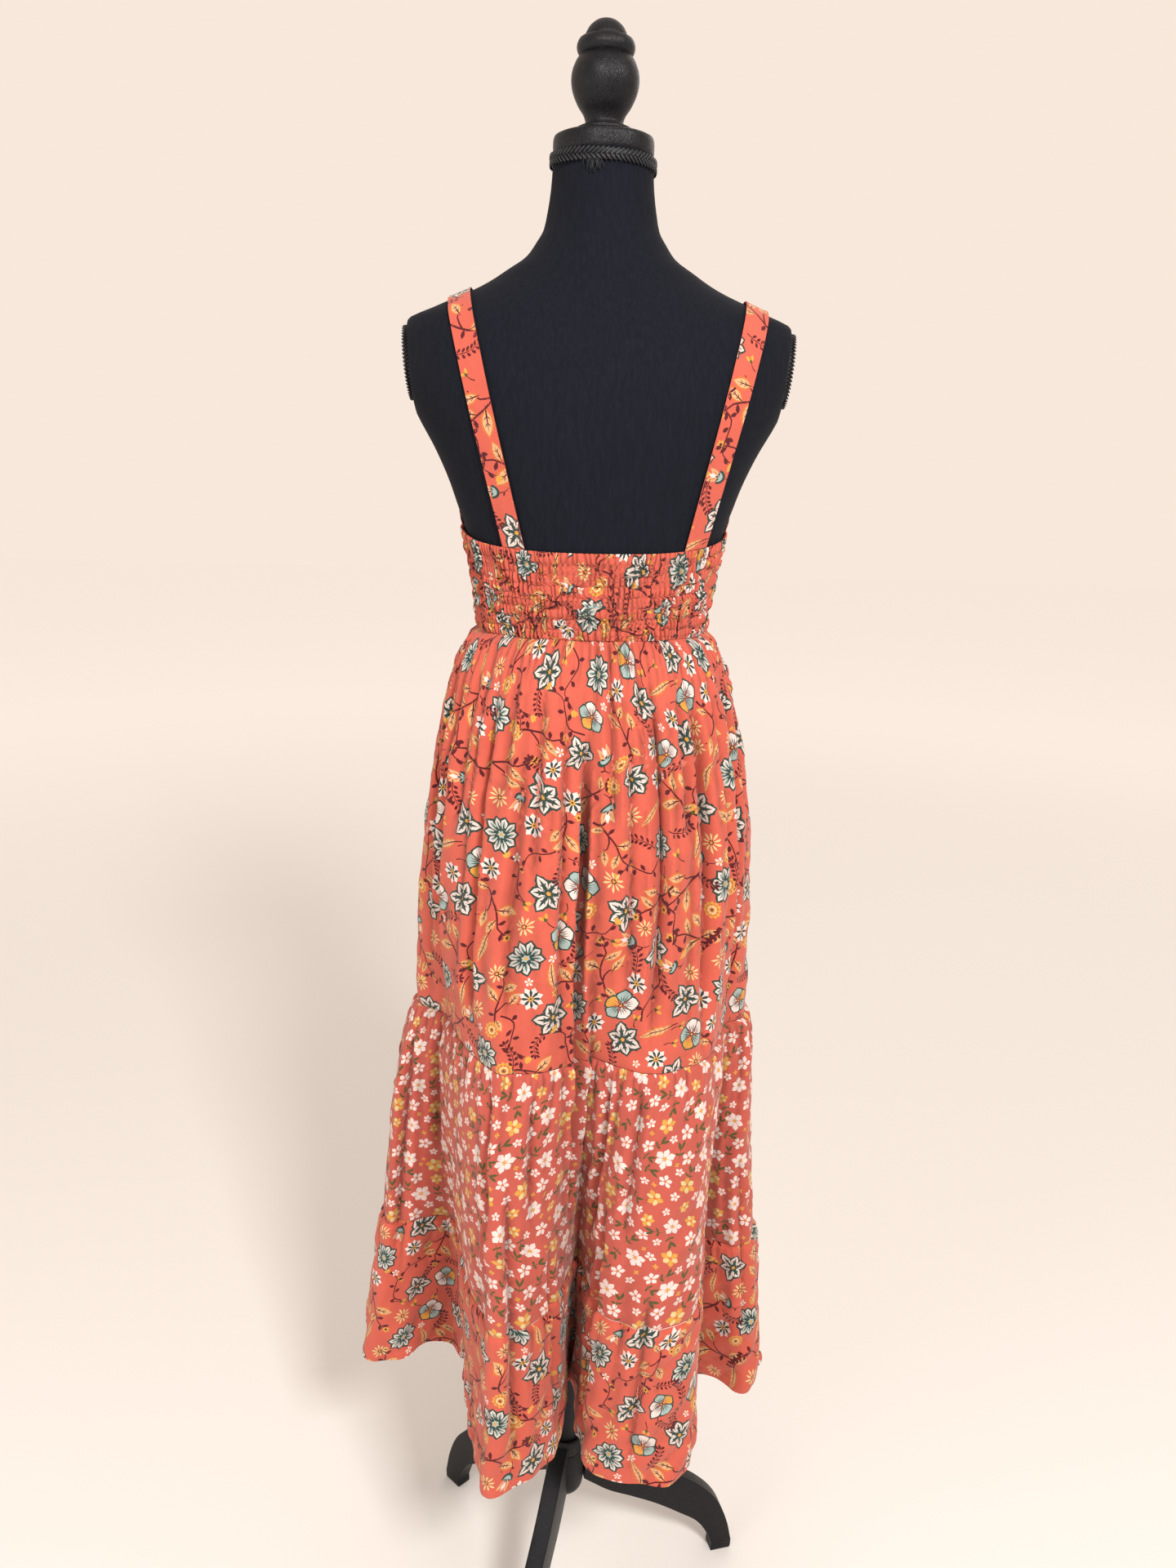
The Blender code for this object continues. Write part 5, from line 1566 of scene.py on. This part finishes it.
placed(turned("turned_cap", smooth_profile(CAP_PROFILE), AXIS, wood), "neck_cap")
placed(turned("turned_finial", smooth_profile(FINIAL_PROFILE), AXIS, wood, 64), "finial")
placed(turned("turned_post", smooth_profile(POST_PROFILE), STAND, wood, 64), "post")
placed(turned("turned_hub", smooth_profile(HUB_PROFILE), STAND, wood, 64), "hub")

for side, sign in (("left", -1), ("right", 1)):
    place, out = arm_plane(sign)
    frame_up = Vector((0.0, 1.0, 0.0)).cross(out).normalized()
    turn = Matrix((Vector((0.0, 1.0, 0.0)), frame_up, out)).transposed().to_4x4()
    if turn.to_3x3().determinant() < 0:
        turn = Matrix((Vector((0.0, -1.0, 0.0)), frame_up, out)).transposed().to_4x4()
    move = Matrix.Translation(place + Vector(AXIS)) @ turn
    verts, faces = [], []
    steps = 72
    for scale, lift in ARM_COVER:
        for k in range(steps):
            a = math.tau * k / steps
            x, y = ARM_HALF_WIDTH * scale * math.cos(a), ARM_HALF_HEIGHT * scale * math.sin(a)
            verts.append(move @ Vector((x, y, lift)))
    verts.append(move @ Vector((0.0, 0.0, ARM_COVER_TOP)))
    verts.append(move @ Vector((0.0, 0.0, ARM_COVER[0][1])))
    for i in range(len(ARM_COVER) - 1):
        for k in range(steps):
            n = (k + 1) % steps
            a, b = i * steps, (i + 1) * steps
            faces += [(a + k, a + n, b + n), (a + k, b + n, b + k)]
    last = (len(ARM_COVER) - 1) * steps
    for k in range(steps):
        n = (k + 1) % steps
        faces += [(last + k, last + n, len(verts) - 2), (n, k, len(verts) - 1)]
    mesh = mesh_of(f"arm_cover_{side}", np.array([tuple(v) for v in verts]), np.array(faces))
    mesh.set_sharp_from_angle(angle=math.radians(50))
    placed(shown(f"arm_cover_{side}", mesh, jersey), f"arm_plate_{side}")
    a = np.linspace(0, math.tau, 160, endpoint=False)
    ring_a, ring_b = ARM_HALF_WIDTH + 0.0012, ARM_HALF_HEIGHT + 0.0012
    local = np.stack([ring_a * np.cos(a), ring_b * np.sin(a), np.full(160, 0.0030)], 1)
    facing = np.stack([ring_b * np.cos(a), ring_a * np.sin(a), np.zeros(160)], 1)
    facing /= np.linalg.norm(facing, axis=1)[:, None]
    rotate = np.array(move.to_3x3())
    path = local @ rotate.T + np.array(move.translation)
    facing = facing @ rotate.T
    band = ring_band(f"arm_braid_band_{side}", path - facing * 0.0008, facing, 0.0050, 0.0012)
    placed(band, f"arm_braid_{side}")
    placed(cords(f"arm_braid_cords_{side}", path + facing * 0.0012, facing, 0.0066, 0.0034, 0.0010))


def leg(name, degrees):
    """A curved leg sawn from a board, with eased edges."""
    top = catmull(LEG_TOP, 6, closed=False)
    under = catmull(LEG_UNDER, 6, closed=False)
    outline = np.concatenate([top, LEG_FOOT, under])
    work = bmesh.new()
    half = LEG_THICKNESS / 2
    near = [work.verts.new((x, -half, z)) for x, z in outline]
    far = [work.verts.new((x, half, z)) for x, z in outline]
    work.faces.new(near[::-1])
    work.faces.new(far)
    count = len(outline)
    for i in range(count):
        j = (i + 1) % count
        work.faces.new((near[i], near[j], far[j], far[i]))
    bmesh.ops.recalc_face_normals(work, faces=work.faces[:])
    rims = [e for e in work.edges if abs(e.verts[0].co.y - e.verts[1].co.y) < 1e-6]
    bmesh.ops.bevel(work, geom=rims, offset=0.0016, segments=3, profile=0.5, affect="EDGES")
    mesh = bpy.data.meshes.new(name)
    work.to_mesh(mesh)
    work.free()
    mesh.shade_smooth()
    mesh.set_sharp_from_angle(angle=math.radians(38))
    obj = shown(name, mesh, board)
    obj.location = STAND
    obj.rotation_euler = (0.0, 0.0, math.radians(degrees))
    return obj


for name, degrees in LEGS.items():
    placed(leg(f"wooden_{name}", degrees), name)

# Floor, light and camera

floor_mesh = bpy.data.meshes.new("floor")
floor_mesh.from_pydata([(-14, -14, 0), (14, -14, 0), (14, 14, 0), (-14, 14, 0)], [], [(0, 1, 2, 3)])
pale = bpy.data.materials.new("floor")
nodes, links, shader = nodes_of(pale)
shader.inputs["Roughness"].default_value = 0.95
shader.inputs["Specular IOR Level"].default_value = 0.1
coords = add(nodes, "ShaderNodeTexCoord")
away = add(nodes, "ShaderNodeVectorMath", operation="LENGTH")
links.new(coords.outputs["Object"], away.inputs[0])
spread = ranged(nodes, links, away.outputs["Value"], (0.5, 6.0, 0.0, 1.0), interpolation_type="SMOOTHSTEP")
shade = add(nodes, "ShaderNodeValToRGB")
shade.color_ramp.elements[0].color = (0.655, 0.63, 0.605, 1.0)
shade.color_ramp.elements[1].color = (0.985, 0.985, 0.985, 1.0)
links.new(spread, shade.inputs["Fac"])
links.new(shade.outputs[0], shader.inputs["Base Color"])
floor = shown("floor", floor_mesh, pale)

world = bpy.data.worlds.new("studio")
world.use_nodes = True
sky = world.node_tree.nodes["Background"]
sky.inputs["Color"].default_value = (*linear((248, 232, 219)), 1.0)
sky.inputs["Strength"].default_value = 1.0
bpy.context.scene.world = world
bpy.context.scene.view_settings.view_transform = "Standard"


def light(name, place, aim, size, power, colour=(1.0, 0.985, 0.97)):
    data = bpy.data.lights.new(name, "AREA")
    data.shape = "RECTANGLE"
    data.size = data.size_y = size
    data.energy = power
    data.color = colour
    obj = bpy.data.objects.new(name, data)
    obj.location = place
    obj.rotation_euler = (Vector(aim) - Vector(place)).to_track_quat("-Z", "Y").to_euler()
    bpy.context.scene.collection.objects.link(obj)


light("key", (0.85, -2.2, 2.70), (0.0, 0.0, 0.78), 0.5, 106.0)
light("fill", (-1.9, -1.8, 1.1), (0.0, 0.0, 0.5), 1.5, 26.0)
light("rim", (0.8, 2.2, 2.6), (0.0, 0.0, 1.1), 1.4, 10.0)

CAMERA_BACK, CAMERA_HEIGHT = 1.19985, 1.34786
camera_data = bpy.data.cameras.new("camera")
camera_data.sensor_width = 36.0
camera_data.lens = 27.75
camera_data.clip_end = 60.0
camera = bpy.data.objects.new("camera", camera_data)
pitch, roll = math.radians(15.0), math.radians(1.415)
forward = Vector((0.0, math.cos(pitch), -math.sin(pitch)))
upright = Vector((0.0, math.sin(pitch), math.cos(pitch)))
right = Vector((1.0, 0.0, 0.0)) * math.cos(roll) + upright * math.sin(roll)
up = Vector((-1.0, 0.0, 0.0)) * math.sin(roll) + upright * math.cos(roll)
eye = Vector((AXIS[0], AXIS[1] - CAMERA_BACK, CAMERA_HEIGHT))
camera.matrix_world = Matrix.Translation(eye) @ Matrix((right, up, -forward)).transposed().to_4x4()
bpy.context.scene.collection.objects.link(camera)
bpy.context.scene.camera = camera
